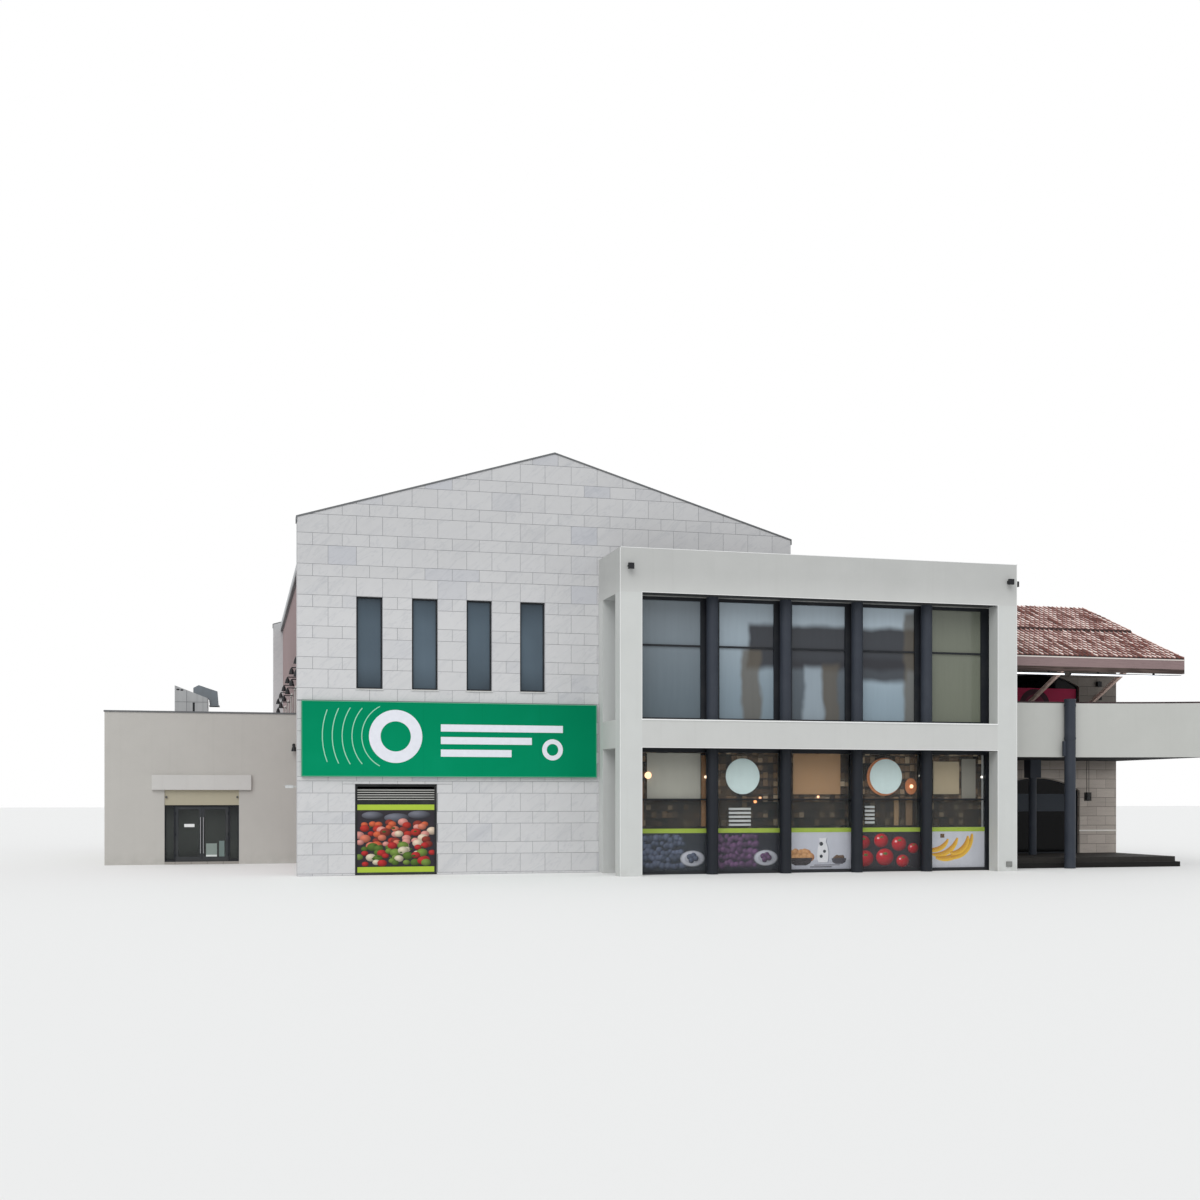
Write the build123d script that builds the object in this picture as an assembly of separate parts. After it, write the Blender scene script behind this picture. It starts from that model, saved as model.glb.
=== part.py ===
"""Shopping mall: gabled hall, glazed portal front, entrance wing and tiled arcade.

Plan coordinates run from the hall's front left corner: x to the right, y to the rear.
The finished building is moved so that its origin is the bottom centre of its bounding box.
"""
from build123d import *
import math
import os

# Hall
HALL_WIDTH = 17250.0
HALL_DEPTH = 30000.0
GABLE_CORNER_HEIGHT = 11750.0
GABLE_RISE = 2570.0
GABLE_THICKNESS = 420.0
GABLE_RETURN = 500.0
SIDE_WALL_THICKNESS = 300.0
ROOF_BELOW_COPING = 100.0
HALL_ROOF_THICKNESS = 220.0
COPING_THICKNESS = 50.0
COPING_LIP = 30.0
COPING_TURN_DOWN = 150.0
GUTTER_WIDTH = 120.0
GUTTER_DEPTH = 170.0

# Floors
GROUND_SLAB = 100.0
UPPER_FLOOR_LEVEL = 5140.0
UPPER_FLOOR_THICKNESS = 300.0

# Narrow windows in both gables
WINDOW_COUNT = 4
WINDOW_WIDTH = 860.0
WINDOW_PITCH = 1835.0
FIRST_WINDOW_LEFT = 1920.0
WINDOW_SILL = 6170.0
WINDOW_HEIGHT = 3050.0

# Windows high in the side walls, placed by the middles of the first and the last one
SIDE_WINDOW_COUNT = 6
SIDE_WINDOW_WIDTH = 1500.0
SIDE_WINDOW_SILL = 5950.0
SIDE_WINDOW_HEIGHT = 1200.0
FIRST_SIDE_WINDOW = 5050.0
LAST_SIDE_WINDOW_TO_REAR = 3450.0

# Window joinery
FRAME_FACE = 55.0
FRAME_DEPTH = 80.0
FRAME_SETBACK = 110.0
GLASS_THICKNESS = 24.0

SURROUND_FACE = 90.0
SURROUND_SILL = 30.0
SURROUND_THICKNESS = 20.0

# Sign panel on the front gable
SIGN_LEFT = 140.0
SIGN_TO_PORTAL = 110.0
SIGN_BOTTOM = 3265.0
SIGN_HEIGHT = 2480.0
SIGN_THICKNESS = 130.0

# Shop opening under the sign
SHOP_LEFT = 1880.0
SHOP_WIDTH = 2710.0
SHOP_HEIGHT = 3020.0
SHOP_POST = 80.0
SHOP_TRANSOM_BOTTOM = 2340.0
SHOP_TRANSOM_HEIGHT = 130.0
SHOP_BOTTOM_RAIL = 90.0
SHOP_SETBACK = 90.0
SHOP_FRAME_DEPTH = 100.0
LOUVRE_BLADES = 5
LOUVRE_BLADE_THICKNESS = 16.0
LOUVRE_BLADE_FALL = 55.0
POSTER_THICKNESS = 20.0

# Portal: the rendered box frame in front of the glazing, part of it before the hall
PORTAL_BEFORE_HALL = 7070.0
PORTAL_WIDTH = 14440.0
PORTAL_PROJECTION = 2780.0
PORTAL_HEIGHT = 10750.0
PORTAL_PIER_WIDTH = 755.0
PORTAL_MEMBER_DEPTH = 585.0
PORTAL_BACK_PIER_DEPTH = 550.0
LOWER_OPENING_TOP = 4210.0
UPPER_OPENING_TOP = 9290.0
PORTAL_ROOF_THICKNESS = 300.0
LINK_WALL_THICKNESS = 300.0
LINK_DEPTH = 11400.0

# Opening from the glazed link into the hall, with a pier between it and the hall's corner
LINK_PIER_WIDTH = 1050.0
LINK_DOORWAY_WIDTH = 4900.0
LINK_DOORWAY_HEIGHT = 4000.0

# Glazing behind the portal
GLAZING_SETBACK = 850.0
GLAZING_DEPTH = 150.0
GLAZING_BAYS = 5
GLAZING_BAY = 2630.0
GLAZING_RAIL = 110.0
GLAZING_END_POST = 110.0
LOWER_POST_WIDTH = 160.0
LOWER_CORNER_POST = 200.0
UPPER_PANEL_WIDTH = 660.0
UPPER_CORNER_POST = 380.0
TRANSOM_HEIGHT = 60.0
LOWER_TRANSOM_LEVEL = 2480.0
UPPER_TRANSOM_LEVEL = 7640.0
POSTER_TOP = 1530.0
COLUMN_DIAMETER = 400.0
COLUMN_CLEARANCE = 20.0
COLLAR_HEIGHT = 70.0
COLLAR_LIP = 14.0

# Entrance wing
WING_REACH = 6780.0
WING_FRONT = 9730.0
WING_DEPTH = 12000.0
WING_HEIGHT = 5860.0
WING_WALL_THICKNESS = 300.0
WING_ROOF_LEVEL = 5500.0
WING_ROOF_THICKNESS = 200.0
WING_COPING_HEIGHT = 60.0
ENTRANCE_FROM_HALL = 1810.0
ENTRANCE_WIDTH = 2780.0
ENTRANCE_HEIGHT = 2880.0
NAME_BOARD_HEIGHT = 590.0
NAME_BOARD_THICKNESS = 90.0
NAME_BOARD_SETBACK = 30.0
LINTEL_PANEL_OVERHANG = 465.0
LINTEL_PANEL_HEIGHT = 575.0
LINTEL_PANEL_THICKNESS = 120.0

# Entrance doors
DOOR_FRAME_SETBACK = 80.0
DOOR_FRAME_DEPTH = 100.0
DOOR_JAMB = 45.0
DOOR_MULLION = 60.0
DOOR_HEAD = 60.0
SIDELIGHT_WIDTH = 300.0
SIDELIGHT_RAIL = 90.0
LEAF_THICKNESS = 50.0
LEAF_STILE = 95.0
LEAF_TOP_RAIL = 95.0
LEAF_BOTTOM_RAIL = 180.0
LEAF_SIDE_GAP = 8.0
LEAF_MEETING_GAP = 10.0
LEAF_FLOOR_GAP = 10.0
HINGE_COUNT = 3
HINGE_RADIUS = 10.0
HINGE_LENGTH = 60.0
HINGE_PLATE = 4.0
HINGE_PLATE_WIDTH = 45.0
HINGE_INSET = 250.0
PULL_DIAMETER = 32.0
PULL_LENGTH = 1400.0
PULL_BOTTOM = 420.0
PULL_STANDOFF = 55.0
PULL_INSET = 48.0

# Rooftop plant on the wing
PLANT_LEFT = -4370.0
PLANT_WIDTH = 1310.0
PLANT_FRONT = 13700.0
PLANT_LENGTH = 2000.0
PLANT_HIGH_SIDE = 1720.0
PLANT_LOW_SIDE = 1210.0
DUCT_SETBACK = 300.0
DUCT_WIDTH = 620.0
DUCT_SEAT = 580.0
DUCT_HEEL = 215.0
DUCT_CROWN = 335.0
DUCT_REACH = 440.0
DUCT_OUTLET_DROP = 310.0
DUCT_OUTLET_LENGTH = 350.0
DUCT_SHELL = 25.0
DUCT_FLANGE = 35.0
DUCT_RECESS = 200.0

# Arcade
ARCADE_LENGTH = 7780.0
ARCADE_STEP_FRONT = -1200.0
ARCADE_STEP_TREAD = 300.0
ARCADE_FLOOR_LEVEL = 370.0
ARCADE_WALL_FRONT = 2800.0
ARCADE_WALL_THICKNESS = 300.0
BALCONY_UNDERSIDE = 4050.0
BALCONY_THICKNESS = 400.0
PARAPET_TOP = 6030.0
PARAPET_THICKNESS = 180.0
BALCONY_FRONT = -1200.0
BALCONY_STRAIGHT = 1000.0
BALCONY_RADIUS = 16000.0
HANDRAIL_HEIGHT = 60.0
HANDRAIL_WIDTH = 120.0
ARCH_SPAN = 3770.0
ARCH_RISE = 500.0
ARCH_PILLAR = 1690.0
GROUND_ARCH_SPRING = 2480.0
UPPER_ARCH_SPRING = 2560.0
FRONT_COLUMN_FROM_PORTAL = 2900.0
FRONT_COLUMN_TOP = 6170.0
FRONT_COLUMN_COLLARS = (4700.0, 5900.0, 6100.0)
COLUMN_BOX_WIDTH = 90.0
COLUMN_BOX_LEVEL = 4080.0
COLUMN_BOX_HEIGHT = 550.0
REAR_COLUMN_DIAMETER = 300.0
REAR_COLUMN_FROM_PORTAL = 3400.0
REAR_COLUMN_LINE = 1800.0
REAR_COLUMN_HEAD = 460.0
REAR_COLUMN_HEAD_HEIGHT = 700.0
STRING_COURSE_LEVEL = 1240.0
STRING_COURSE_HEIGHT = 60.0
STRING_COURSE_LIP = 25.0
SEAT_GAP = 0.3

# Arcade roof
EAVE_FRONT = -1450.0
EAVE_LEVEL = 7730.0
RIDGE_LINE = 5150.0
RIDGE_LEVEL = 10410.0
ARCADE_ROOF_THICKNESS = 180.0
ROOF_TIER_RUN = 3260.0
ROOF_TIER_STEP = 70.0
EAVE_BEAM_HEIGHT = 350.0
EAVE_BEAM_WIDTH = 160.0
STRUT_COUNT = 2
STRUT_SPACING = 2630.0
STRUT_WIDTH = 130.0
STRUT_DEPTH = 130.0
STRUT_FOOT_LEVEL = 5400.0

# Lamps
BELL_DIAMETER = 210.0
BELL_HEIGHT = 250.0
BELL_SHELL = 6.0
BELL_REACH = 400.0
BELL_UPPER_LEVEL = 7220.0
BELL_LOWER_LEVEL = 6780.0
ARM_DIAMETER = 40.0
WALL_PLATE = 120.0
WALL_PLATE_THICKNESS = 15.0
FLOODLIGHT_SIZE = 190.0
FLOODLIGHT_THICKNESS = 95.0
FLOODLIGHT_STANDOFF = 130.0
FLOODLIGHT_DROP = 640.0
FLOODLIGHT_INSET = 330.0
YOKE_THICKNESS = 10.0
PENDANT_WIDTH = 200.0
PENDANT_HEIGHT = 340.0
PENDANT_DROP = 1260.0
PENDANT_FROM_WALL = 450.0
PENDANT_BAR = 18.0
PENDANT_ROD_DIAMETER = 20.0
BATTEN_HEIGHT = 70.0
BATTEN_DEPTH = 60.0
BATTEN_DROP = 60.0
BATTEN_END_GAP = 100.0
PILLAR_LAMP_WIDTH = 180.0
PILLAR_LAMP_HEIGHT = 200.0
PILLAR_LAMP_DEPTH = 150.0
PILLAR_LAMP_LEVELS = (6490.0, 7030.0)
CORNER_LAMP_LEVEL = 4400.0
CORNER_LAMP_FROM_HALL = 220.0
CORNER_LAMP_REACH = 180.0

# Security camera at the hall's front left corner
CAMERA_LEVEL = 2930.0
CAMERA_REACH = 370.0
CAMERA_LENGTH = 260.0
CAMERA_HOUSING = 90.0
CAMERA_HOOD = 10.0

# Derived places
HALL_MIDDLE = HALL_WIDTH / 2
GABLE_SLOPE = GABLE_RISE / HALL_MIDDLE
SIDE_LEFT_INNER = GABLE_RETURN + SIDE_WALL_THICKNESS
SIDE_RIGHT_OUTER = HALL_WIDTH - GABLE_RETURN
SIDE_RIGHT_INNER = SIDE_RIGHT_OUTER - SIDE_WALL_THICKNESS
REAR_INNER = HALL_DEPTH - GABLE_THICKNESS
SIDE_WINDOW_RUN = HALL_DEPTH - LAST_SIDE_WINDOW_TO_REAR - FIRST_SIDE_WINDOW
SIDE_WINDOW_PITCH = SIDE_WINDOW_RUN / (SIDE_WINDOW_COUNT - 1)
PORTAL_LEFT = HALL_WIDTH - PORTAL_BEFORE_HALL
SIGN_RIGHT = PORTAL_LEFT - SIGN_TO_PORTAL
PORTAL_RIGHT = PORTAL_LEFT + PORTAL_WIDTH
PORTAL_FRONT = -PORTAL_PROJECTION
PORTAL_MEMBER_BACK = PORTAL_FRONT + PORTAL_MEMBER_DEPTH
PORTAL_INNER_LEFT = PORTAL_LEFT + PORTAL_PIER_WIDTH
PORTAL_INNER_RIGHT = PORTAL_RIGHT - PORTAL_PIER_WIDTH
GLAZING_FRONT = PORTAL_FRONT + GLAZING_SETBACK
GLAZING_BACK = GLAZING_FRONT + GLAZING_DEPTH
GLAZING_LEFT = PORTAL_INNER_LEFT
GLAZING_RIGHT = GLAZING_LEFT + GLAZING_BAYS * GLAZING_BAY
LINK_DOORWAY_RIGHT = HALL_WIDTH - LINK_PIER_WIDTH
LINK_DOORWAY_LEFT = LINK_DOORWAY_RIGHT - LINK_DOORWAY_WIDTH
LINK_INNER_RIGHT = PORTAL_RIGHT - LINK_WALL_THICKNESS
LINK_INNER_REAR = LINK_DEPTH - LINK_WALL_THICKNESS
WING_LEFT = -WING_REACH
WING_INNER_LEFT = WING_LEFT + WING_WALL_THICKNESS
WING_INNER_FRONT = WING_FRONT + WING_WALL_THICKNESS
WING_REAR = WING_FRONT + WING_DEPTH
WING_INNER_REAR = WING_REAR - WING_WALL_THICKNESS
ENTRANCE_RIGHT = -ENTRANCE_FROM_HALL
ENTRANCE_LEFT = ENTRANCE_RIGHT - ENTRANCE_WIDTH
ENTRANCE_MIDDLE = (ENTRANCE_LEFT + ENTRANCE_RIGHT) / 2
DOOR_SET_TOP = ENTRANCE_HEIGHT - NAME_BOARD_HEIGHT
ARCADE_RIGHT = PORTAL_RIGHT + ARCADE_LENGTH
ARCADE_WALL_BACK = ARCADE_WALL_FRONT + ARCADE_WALL_THICKNESS
ARCADE_ROOF_SLOPE = (RIDGE_LEVEL - EAVE_LEVEL) / (RIDGE_LINE - EAVE_FRONT)
BALCONY_TOP = BALCONY_UNDERSIDE + BALCONY_THICKNESS
EAVE_BEAM_LOW = EAVE_LEVEL - ARCADE_ROOF_THICKNESS - EAVE_BEAM_HEIGHT
REAR_EAVE = 2 * RIDGE_LINE - EAVE_FRONT
ARCH_RIGHT = ARCADE_RIGHT - ARCH_PILLAR
ARCH_LEFT = ARCH_RIGHT - ARCH_SPAN
FLOODLIGHT_REACH = FLOODLIGHT_STANDOFF + FLOODLIGHT_THICKNESS

# Bounding box of the plan, whose bottom centre is the origin
X_CENTRE = (WING_LEFT - COPING_LIP + ARCADE_RIGHT) / 2
Y_CENTRE = (PORTAL_FRONT - FLOODLIGHT_REACH + HALL_DEPTH + COPING_LIP) / 2


def block(x_low, x_high, y_low, y_high, z_low, z_high):
    """Box between two corners in plan coordinates."""
    box = Box(x_high - x_low, y_high - y_low, z_high - z_low, align=(Align.MIN,) * 3)
    return Pos(x_low, y_low, z_low) * box


def prism_along_y(points, y_low, y_high):
    """Solid with an outline of (x, z) points, run along y."""
    outline = [Vector(x, y_low, z) for x, z in points]
    face = Face(Wire.make_polygon(outline, close=True))
    return Solid.extrude(face, Vector(0, y_high - y_low, 0))


def prism_along_x(points, x_low, x_high):
    """Solid with an outline of (y, z) points, run along x."""
    outline = [Vector(x_low, y, z) for y, z in points]
    face = Face(Wire.make_polygon(outline, close=True))
    return Solid.extrude(face, Vector(x_high - x_low, 0, 0))


def fuse(pieces):
    """One solid from pieces that meet."""
    result = pieces[0]
    for piece in pieces[1:]:
        result = result + piece
    return result


def save(name, *solids):
    """Write one node, moved to the finished building's origin."""
    moved = [Pos(-X_CENTRE, -Y_CENTRE, 0) * solid for solid in solids]
    shape = moved[0] if len(moved) == 1 else Compound(children=moved)
    export_step(shape, f"parts/{name}.step")


def gable_top(x):
    """Height of the gable's top at x."""
    return GABLE_CORNER_HEIGHT + GABLE_SLOPE * min(x, HALL_WIDTH - x)


def roof_top(x):
    """Height of the hall roof's upper face at x."""
    return gable_top(x) - ROOF_BELOW_COPING


def roof_under(x):
    """Height of the hall roof's lower face at x."""
    return roof_top(x) - HALL_ROOF_THICKNESS


def arcade_roof_top(y):
    """Height of the arcade roof's lower tier at y, mirrored behind the ridge."""
    run = y - EAVE_FRONT if y <= RIDGE_LINE else REAR_EAVE - y
    return EAVE_LEVEL + ARCADE_ROOF_SLOPE * run


def arcade_roof_under(y):
    """Height of the arcade roof's lower face at y."""
    return arcade_roof_top(y) - ARCADE_ROOF_THICKNESS


def window_lefts():
    """Left edges of the narrow gable windows."""
    return [FIRST_WINDOW_LEFT + i * WINDOW_PITCH for i in range(WINDOW_COUNT)]


def side_window_middles():
    """Places of the side windows along the hall."""
    return [FIRST_SIDE_WINDOW + i * SIDE_WINDOW_PITCH for i in range(SIDE_WINDOW_COUNT)]


def lamp_lines():
    """Places of the lamps along the hall, half way between the side windows."""
    return [middle - SIDE_WINDOW_PITCH / 2 for middle in side_window_middles()]


def right_window_middles():
    """Side windows of the right wall, where it stands free behind the link."""
    clear = LINK_DEPTH + SIDE_WINDOW_WIDTH
    return [y for y in side_window_middles() if y > clear]


def ring_across_y(x_low, x_high, z_low, z_high, face, y_low, y_high):
    """Rectangular frame in a wall that faces y."""
    outer = block(x_low, x_high, y_low, y_high, z_low, z_high)
    return outer - block(x_low + face, x_high - face, y_low, y_high, z_low + face, z_high - face)


def ring_across_x(y_low, y_high, z_low, z_high, face, x_low, x_high):
    """Rectangular frame in a wall that faces x."""
    outer = block(x_low, x_high, y_low, y_high, z_low, z_high)
    return outer - block(x_low, x_high, y_low + face, y_high - face, z_low + face, z_high - face)


def hall_walls():
    """Gables with their openings, and the side walls under the roof."""
    front = prism_along_y(
        [
            (0, 0),
            (LINK_DOORWAY_LEFT, 0),
            (LINK_DOORWAY_LEFT, gable_top(LINK_DOORWAY_LEFT)),
            (HALL_MIDDLE, gable_top(HALL_MIDDLE)),
            (0, GABLE_CORNER_HEIGHT),
        ],
        0,
        GABLE_THICKNESS,
    )
    rear = prism_along_y(
        [
            (0, 0),
            (HALL_WIDTH, 0),
            (HALL_WIDTH, GABLE_CORNER_HEIGHT),
            (HALL_MIDDLE, gable_top(HALL_MIDDLE)),
            (0, GABLE_CORNER_HEIGHT),
        ],
        REAR_INNER,
        HALL_DEPTH,
    )
    for left in window_lefts():
        right = left + WINDOW_WIDTH
        top = WINDOW_SILL + WINDOW_HEIGHT
        front -= block(left, right, 0, GABLE_THICKNESS, WINDOW_SILL, top)
        rear -= block(left, right, REAR_INNER, HALL_DEPTH, WINDOW_SILL, top)
    front -= block(SHOP_LEFT, SHOP_LEFT + SHOP_WIDTH, 0, GABLE_THICKNESS, 0, SHOP_HEIGHT)
    save("front_gable_wall", front)
    save("rear_gable_wall", rear)
    over_link = prism_along_y(
        [
            (LINK_DOORWAY_LEFT, LINK_DOORWAY_HEIGHT),
            (HALL_WIDTH, LINK_DOORWAY_HEIGHT),
            (HALL_WIDTH, GABLE_CORNER_HEIGHT),
            (LINK_DOORWAY_LEFT, gable_top(LINK_DOORWAY_LEFT)),
        ],
        0,
        GABLE_THICKNESS,
    )
    save("front_gable_over_link", over_link)
    pier = block(LINK_DOORWAY_RIGHT, HALL_WIDTH, 0, GABLE_THICKNESS, 0, LINK_DOORWAY_HEIGHT)
    save("front_gable_pier", pier)
    for name, outer, inner, middles in (
        ("left_side_wall", GABLE_RETURN, SIDE_LEFT_INNER, side_window_middles()),
        ("right_side_wall", SIDE_RIGHT_OUTER, SIDE_RIGHT_INNER, right_window_middles()),
    ):
        low, high = min(outer, inner), max(outer, inner)
        profile = [(low, 0), (high, 0), (high, roof_under(high)), (low, roof_under(low))]
        wall = prism_along_y(profile, GABLE_THICKNESS, REAR_INNER)
        for middle in middles:
            y_low = middle - SIDE_WINDOW_WIDTH / 2
            y_high = middle + SIDE_WINDOW_WIDTH / 2
            top = SIDE_WINDOW_SILL + SIDE_WINDOW_HEIGHT
            wall -= block(low, high, y_low, y_high, SIDE_WINDOW_SILL, top)
        save(name, wall)


def hall_roof():
    """Two roof slopes between the gables, with gutters, and copings on the gables."""
    eave = GABLE_RETURN - GUTTER_WIDTH
    left = [
        (eave, roof_under(eave)),
        (HALL_MIDDLE, roof_under(HALL_MIDDLE)),
        (HALL_MIDDLE, roof_top(HALL_MIDDLE)),
        (eave, roof_top(eave)),
    ]
    right = [(HALL_WIDTH - x, z) for x, z in left]
    save("hall_roof_left", prism_along_y(left, GABLE_THICKNESS, REAR_INNER))
    save("hall_roof_right", prism_along_y(right, GABLE_THICKNESS, REAR_INNER))

    gutter = [
        (eave, roof_under(GABLE_RETURN) - GUTTER_DEPTH),
        (GABLE_RETURN, roof_under(GABLE_RETURN) - GUTTER_DEPTH),
        (GABLE_RETURN, roof_under(GABLE_RETURN)),
        (eave, roof_under(eave)),
    ]
    mirrored = [(HALL_WIDTH - x, z) for x, z in gutter]
    trim = [
        prism_along_y(gutter, GABLE_THICKNESS, REAR_INNER),
        prism_along_y(mirrored, GABLE_THICKNESS, REAR_INNER),
    ]
    turned = GABLE_CORNER_HEIGHT - COPING_TURN_DOWN
    lip = COPING_LIP
    half = [(-lip, turned), (0, turned), (0, GABLE_CORNER_HEIGHT)]
    half.append((HALL_MIDDLE, gable_top(HALL_MIDDLE)))
    crown = gable_top(HALL_MIDDLE) + COPING_THICKNESS
    edge = GABLE_CORNER_HEIGHT + COPING_THICKNESS - GABLE_SLOPE * lip
    outline = half + [(HALL_WIDTH - x, z) for x, z in reversed(half[:-1])]
    outline += [(HALL_WIDTH + lip, edge), (HALL_MIDDLE, crown), (-lip, edge)]
    trim.append(prism_along_y(outline, -lip, GABLE_THICKNESS))
    trim.append(prism_along_y(outline, REAR_INNER, HALL_DEPTH + lip))
    trim.append(wing_coping())
    save("metal_trim", *trim)


def wing_coping():
    """Thin cap round the three free sides of the wing's parapet."""
    lip = COPING_LIP
    top = WING_HEIGHT + WING_COPING_HEIGHT
    outer = block(WING_LEFT - lip, GABLE_RETURN, WING_FRONT - lip, WING_REAR + lip, WING_HEIGHT, top)
    inner = block(
        WING_INNER_LEFT + lip,
        GABLE_RETURN,
        WING_INNER_FRONT + lip,
        WING_INNER_REAR - lip,
        WING_HEIGHT,
        top,
    )
    return outer - inner


def link_slab(z_low, z_high):
    """Slab inside the link, round the hall's front corner."""
    beside = block(
        SIDE_RIGHT_OUTER, LINK_INNER_RIGHT, GABLE_THICKNESS, LINK_INNER_REAR, z_low, z_high
    )
    return beside + block(HALL_WIDTH, LINK_INNER_RIGHT, 0, GABLE_THICKNESS, z_low, z_high)


def floors():
    """Ground slabs and upper floors inside the walls."""
    save(
        "hall_floor",
        block(SIDE_LEFT_INNER, SIDE_RIGHT_INNER, GABLE_THICKNESS, REAR_INNER, 0, GROUND_SLAB),
    )
    pier_front = -PORTAL_BACK_PIER_DEPTH
    left = GLAZING_LEFT + GLAZING_DEPTH
    glazed = block(left, GLAZING_RIGHT - GLAZING_DEPTH, GLAZING_BACK, pier_front, 0, GROUND_SLAB)
    glazed += block(left, PORTAL_INNER_RIGHT, pier_front, 0, 0, GROUND_SLAB)
    behind = block(HALL_WIDTH, LINK_INNER_RIGHT, 0, LINK_INNER_REAR, 0, GROUND_SLAB)
    sill = block(LINK_DOORWAY_LEFT, LINK_DOORWAY_RIGHT, 0, GABLE_THICKNESS, 0, GROUND_SLAB)
    strip = block(SIDE_RIGHT_OUTER, HALL_WIDTH, GABLE_THICKNESS, LINK_INNER_REAR, 0, GROUND_SLAB)
    save("link_floor", fuse([glazed, behind, sill, strip]))
    low = UPPER_FLOOR_LEVEL - UPPER_FLOOR_THICKNESS
    high = UPPER_FLOOR_LEVEL
    hall = block(SIDE_LEFT_INNER, SIDE_RIGHT_INNER, GABLE_THICKNESS, REAR_INNER, low, high)
    link = link_slab(low, high)
    rooms = block(
        PORTAL_RIGHT,
        ARCADE_RIGHT - ARCADE_WALL_THICKNESS,
        ARCADE_WALL_BACK,
        LINK_INNER_REAR,
        BALCONY_UNDERSIDE,
        BALCONY_TOP,
    )
    save("upper_floors", hall, link, rooms)
    wing = block(WING_INNER_LEFT, GABLE_RETURN, WING_INNER_FRONT, WING_INNER_REAR, 0, GROUND_SLAB)
    step = block(ENTRANCE_LEFT, ENTRANCE_RIGHT, WING_FRONT, WING_INNER_FRONT, 0, GROUND_SLAB)
    save("wing_floor", wing + step)


def gable_window(left, y_front, y_back):
    """Frame and pane of one narrow window, the frame set back from y_front."""
    right = left + WINDOW_WIDTH
    top = WINDOW_SILL + WINDOW_HEIGHT
    frame = ring_across_y(left, right, WINDOW_SILL, top, FRAME_FACE, y_front, y_back)
    middle = (y_front + y_back) / 2
    pane = block(
        left + FRAME_FACE,
        right - FRAME_FACE,
        middle - GLASS_THICKNESS / 2,
        middle + GLASS_THICKNESS / 2,
        WINDOW_SILL + FRAME_FACE,
        top - FRAME_FACE,
    )
    return frame, pane


def side_window(middle, x_low, x_high):
    """Frame and pane of one side window."""
    y_low = middle - SIDE_WINDOW_WIDTH / 2
    y_high = middle + SIDE_WINDOW_WIDTH / 2
    top = SIDE_WINDOW_SILL + SIDE_WINDOW_HEIGHT
    frame = ring_across_x(y_low, y_high, SIDE_WINDOW_SILL, top, FRAME_FACE, x_low, x_high)
    x_middle = (x_low + x_high) / 2
    pane = block(
        x_middle - GLASS_THICKNESS / 2,
        x_middle + GLASS_THICKNESS / 2,
        y_low + FRAME_FACE,
        y_high - FRAME_FACE,
        SIDE_WINDOW_SILL + FRAME_FACE,
        top - FRAME_FACE,
    )
    return frame, pane


def arch_outline(spring, base, inset):
    """Points and arc of a segmental arch opening, drawn in by inset, as a face at y = 0."""
    left = ARCH_LEFT + inset
    right = ARCH_RIGHT - inset
    crown = spring + ARCH_RISE - inset
    floor = base + inset
    middle = (left + right) / 2
    edges = [
        Edge.make_line(Vector(left, 0, floor), Vector(right, 0, floor)),
        Edge.make_line(Vector(right, 0, floor), Vector(right, 0, spring)),
        Edge.make_three_point_arc(
            Vector(right, 0, spring), Vector(middle, 0, crown), Vector(left, 0, spring)
        ),
        Edge.make_line(Vector(left, 0, spring), Vector(left, 0, floor)),
    ]
    return Face(Wire(edges))


def arch_solid(spring, base, inset, y_low, y_high):
    """Solid that fills a segmental arch opening between two depths."""
    face = Pos(0, y_low, 0) * arch_outline(spring, base, inset)
    return Solid.extrude(face, Vector(0, y_high - y_low, 0))


def arch_levels():
    """Spring and base heights of the two storeys of arches."""
    ground = (ARCADE_FLOOR_LEVEL + GROUND_ARCH_SPRING, ARCADE_FLOOR_LEVEL)
    upper = (BALCONY_TOP + UPPER_ARCH_SPRING, BALCONY_TOP)
    return ground, upper


def windows():
    """Frames and panes of every fixed window outside the glazed front."""
    frames = []
    panes = []
    for left in window_lefts():
        front = gable_window(left, FRAME_SETBACK, FRAME_SETBACK + FRAME_DEPTH)
        back = HALL_DEPTH - FRAME_SETBACK
        rear = gable_window(left, back - FRAME_DEPTH, back)
        frames += [front[0], rear[0]]
        panes += [front[1], rear[1]]
    left_face = GABLE_RETURN + FRAME_SETBACK
    for middle in side_window_middles():
        frame, pane = side_window(middle, left_face, left_face + FRAME_DEPTH)
        frames.append(frame)
        panes.append(pane)
    right_face = SIDE_RIGHT_OUTER - FRAME_SETBACK
    for middle in right_window_middles():
        frame, pane = side_window(middle, right_face - FRAME_DEPTH, right_face)
        frames.append(frame)
        panes.append(pane)
    y_low = ARCADE_WALL_FRONT + FRAME_SETBACK
    y_high = y_low + FRAME_DEPTH
    y_middle = (y_low + y_high) / 2
    half = GLASS_THICKNESS / 2
    for spring, base in arch_levels():
        whole = arch_solid(spring, base, 0, y_low, y_high)
        frames.append(whole - arch_solid(spring, base, FRAME_FACE, y_low, y_high))
        panes.append(arch_solid(spring, base, FRAME_FACE, y_middle - half, y_middle + half))
    save("window_frames", *frames)
    save("window_glass", *panes)


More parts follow.
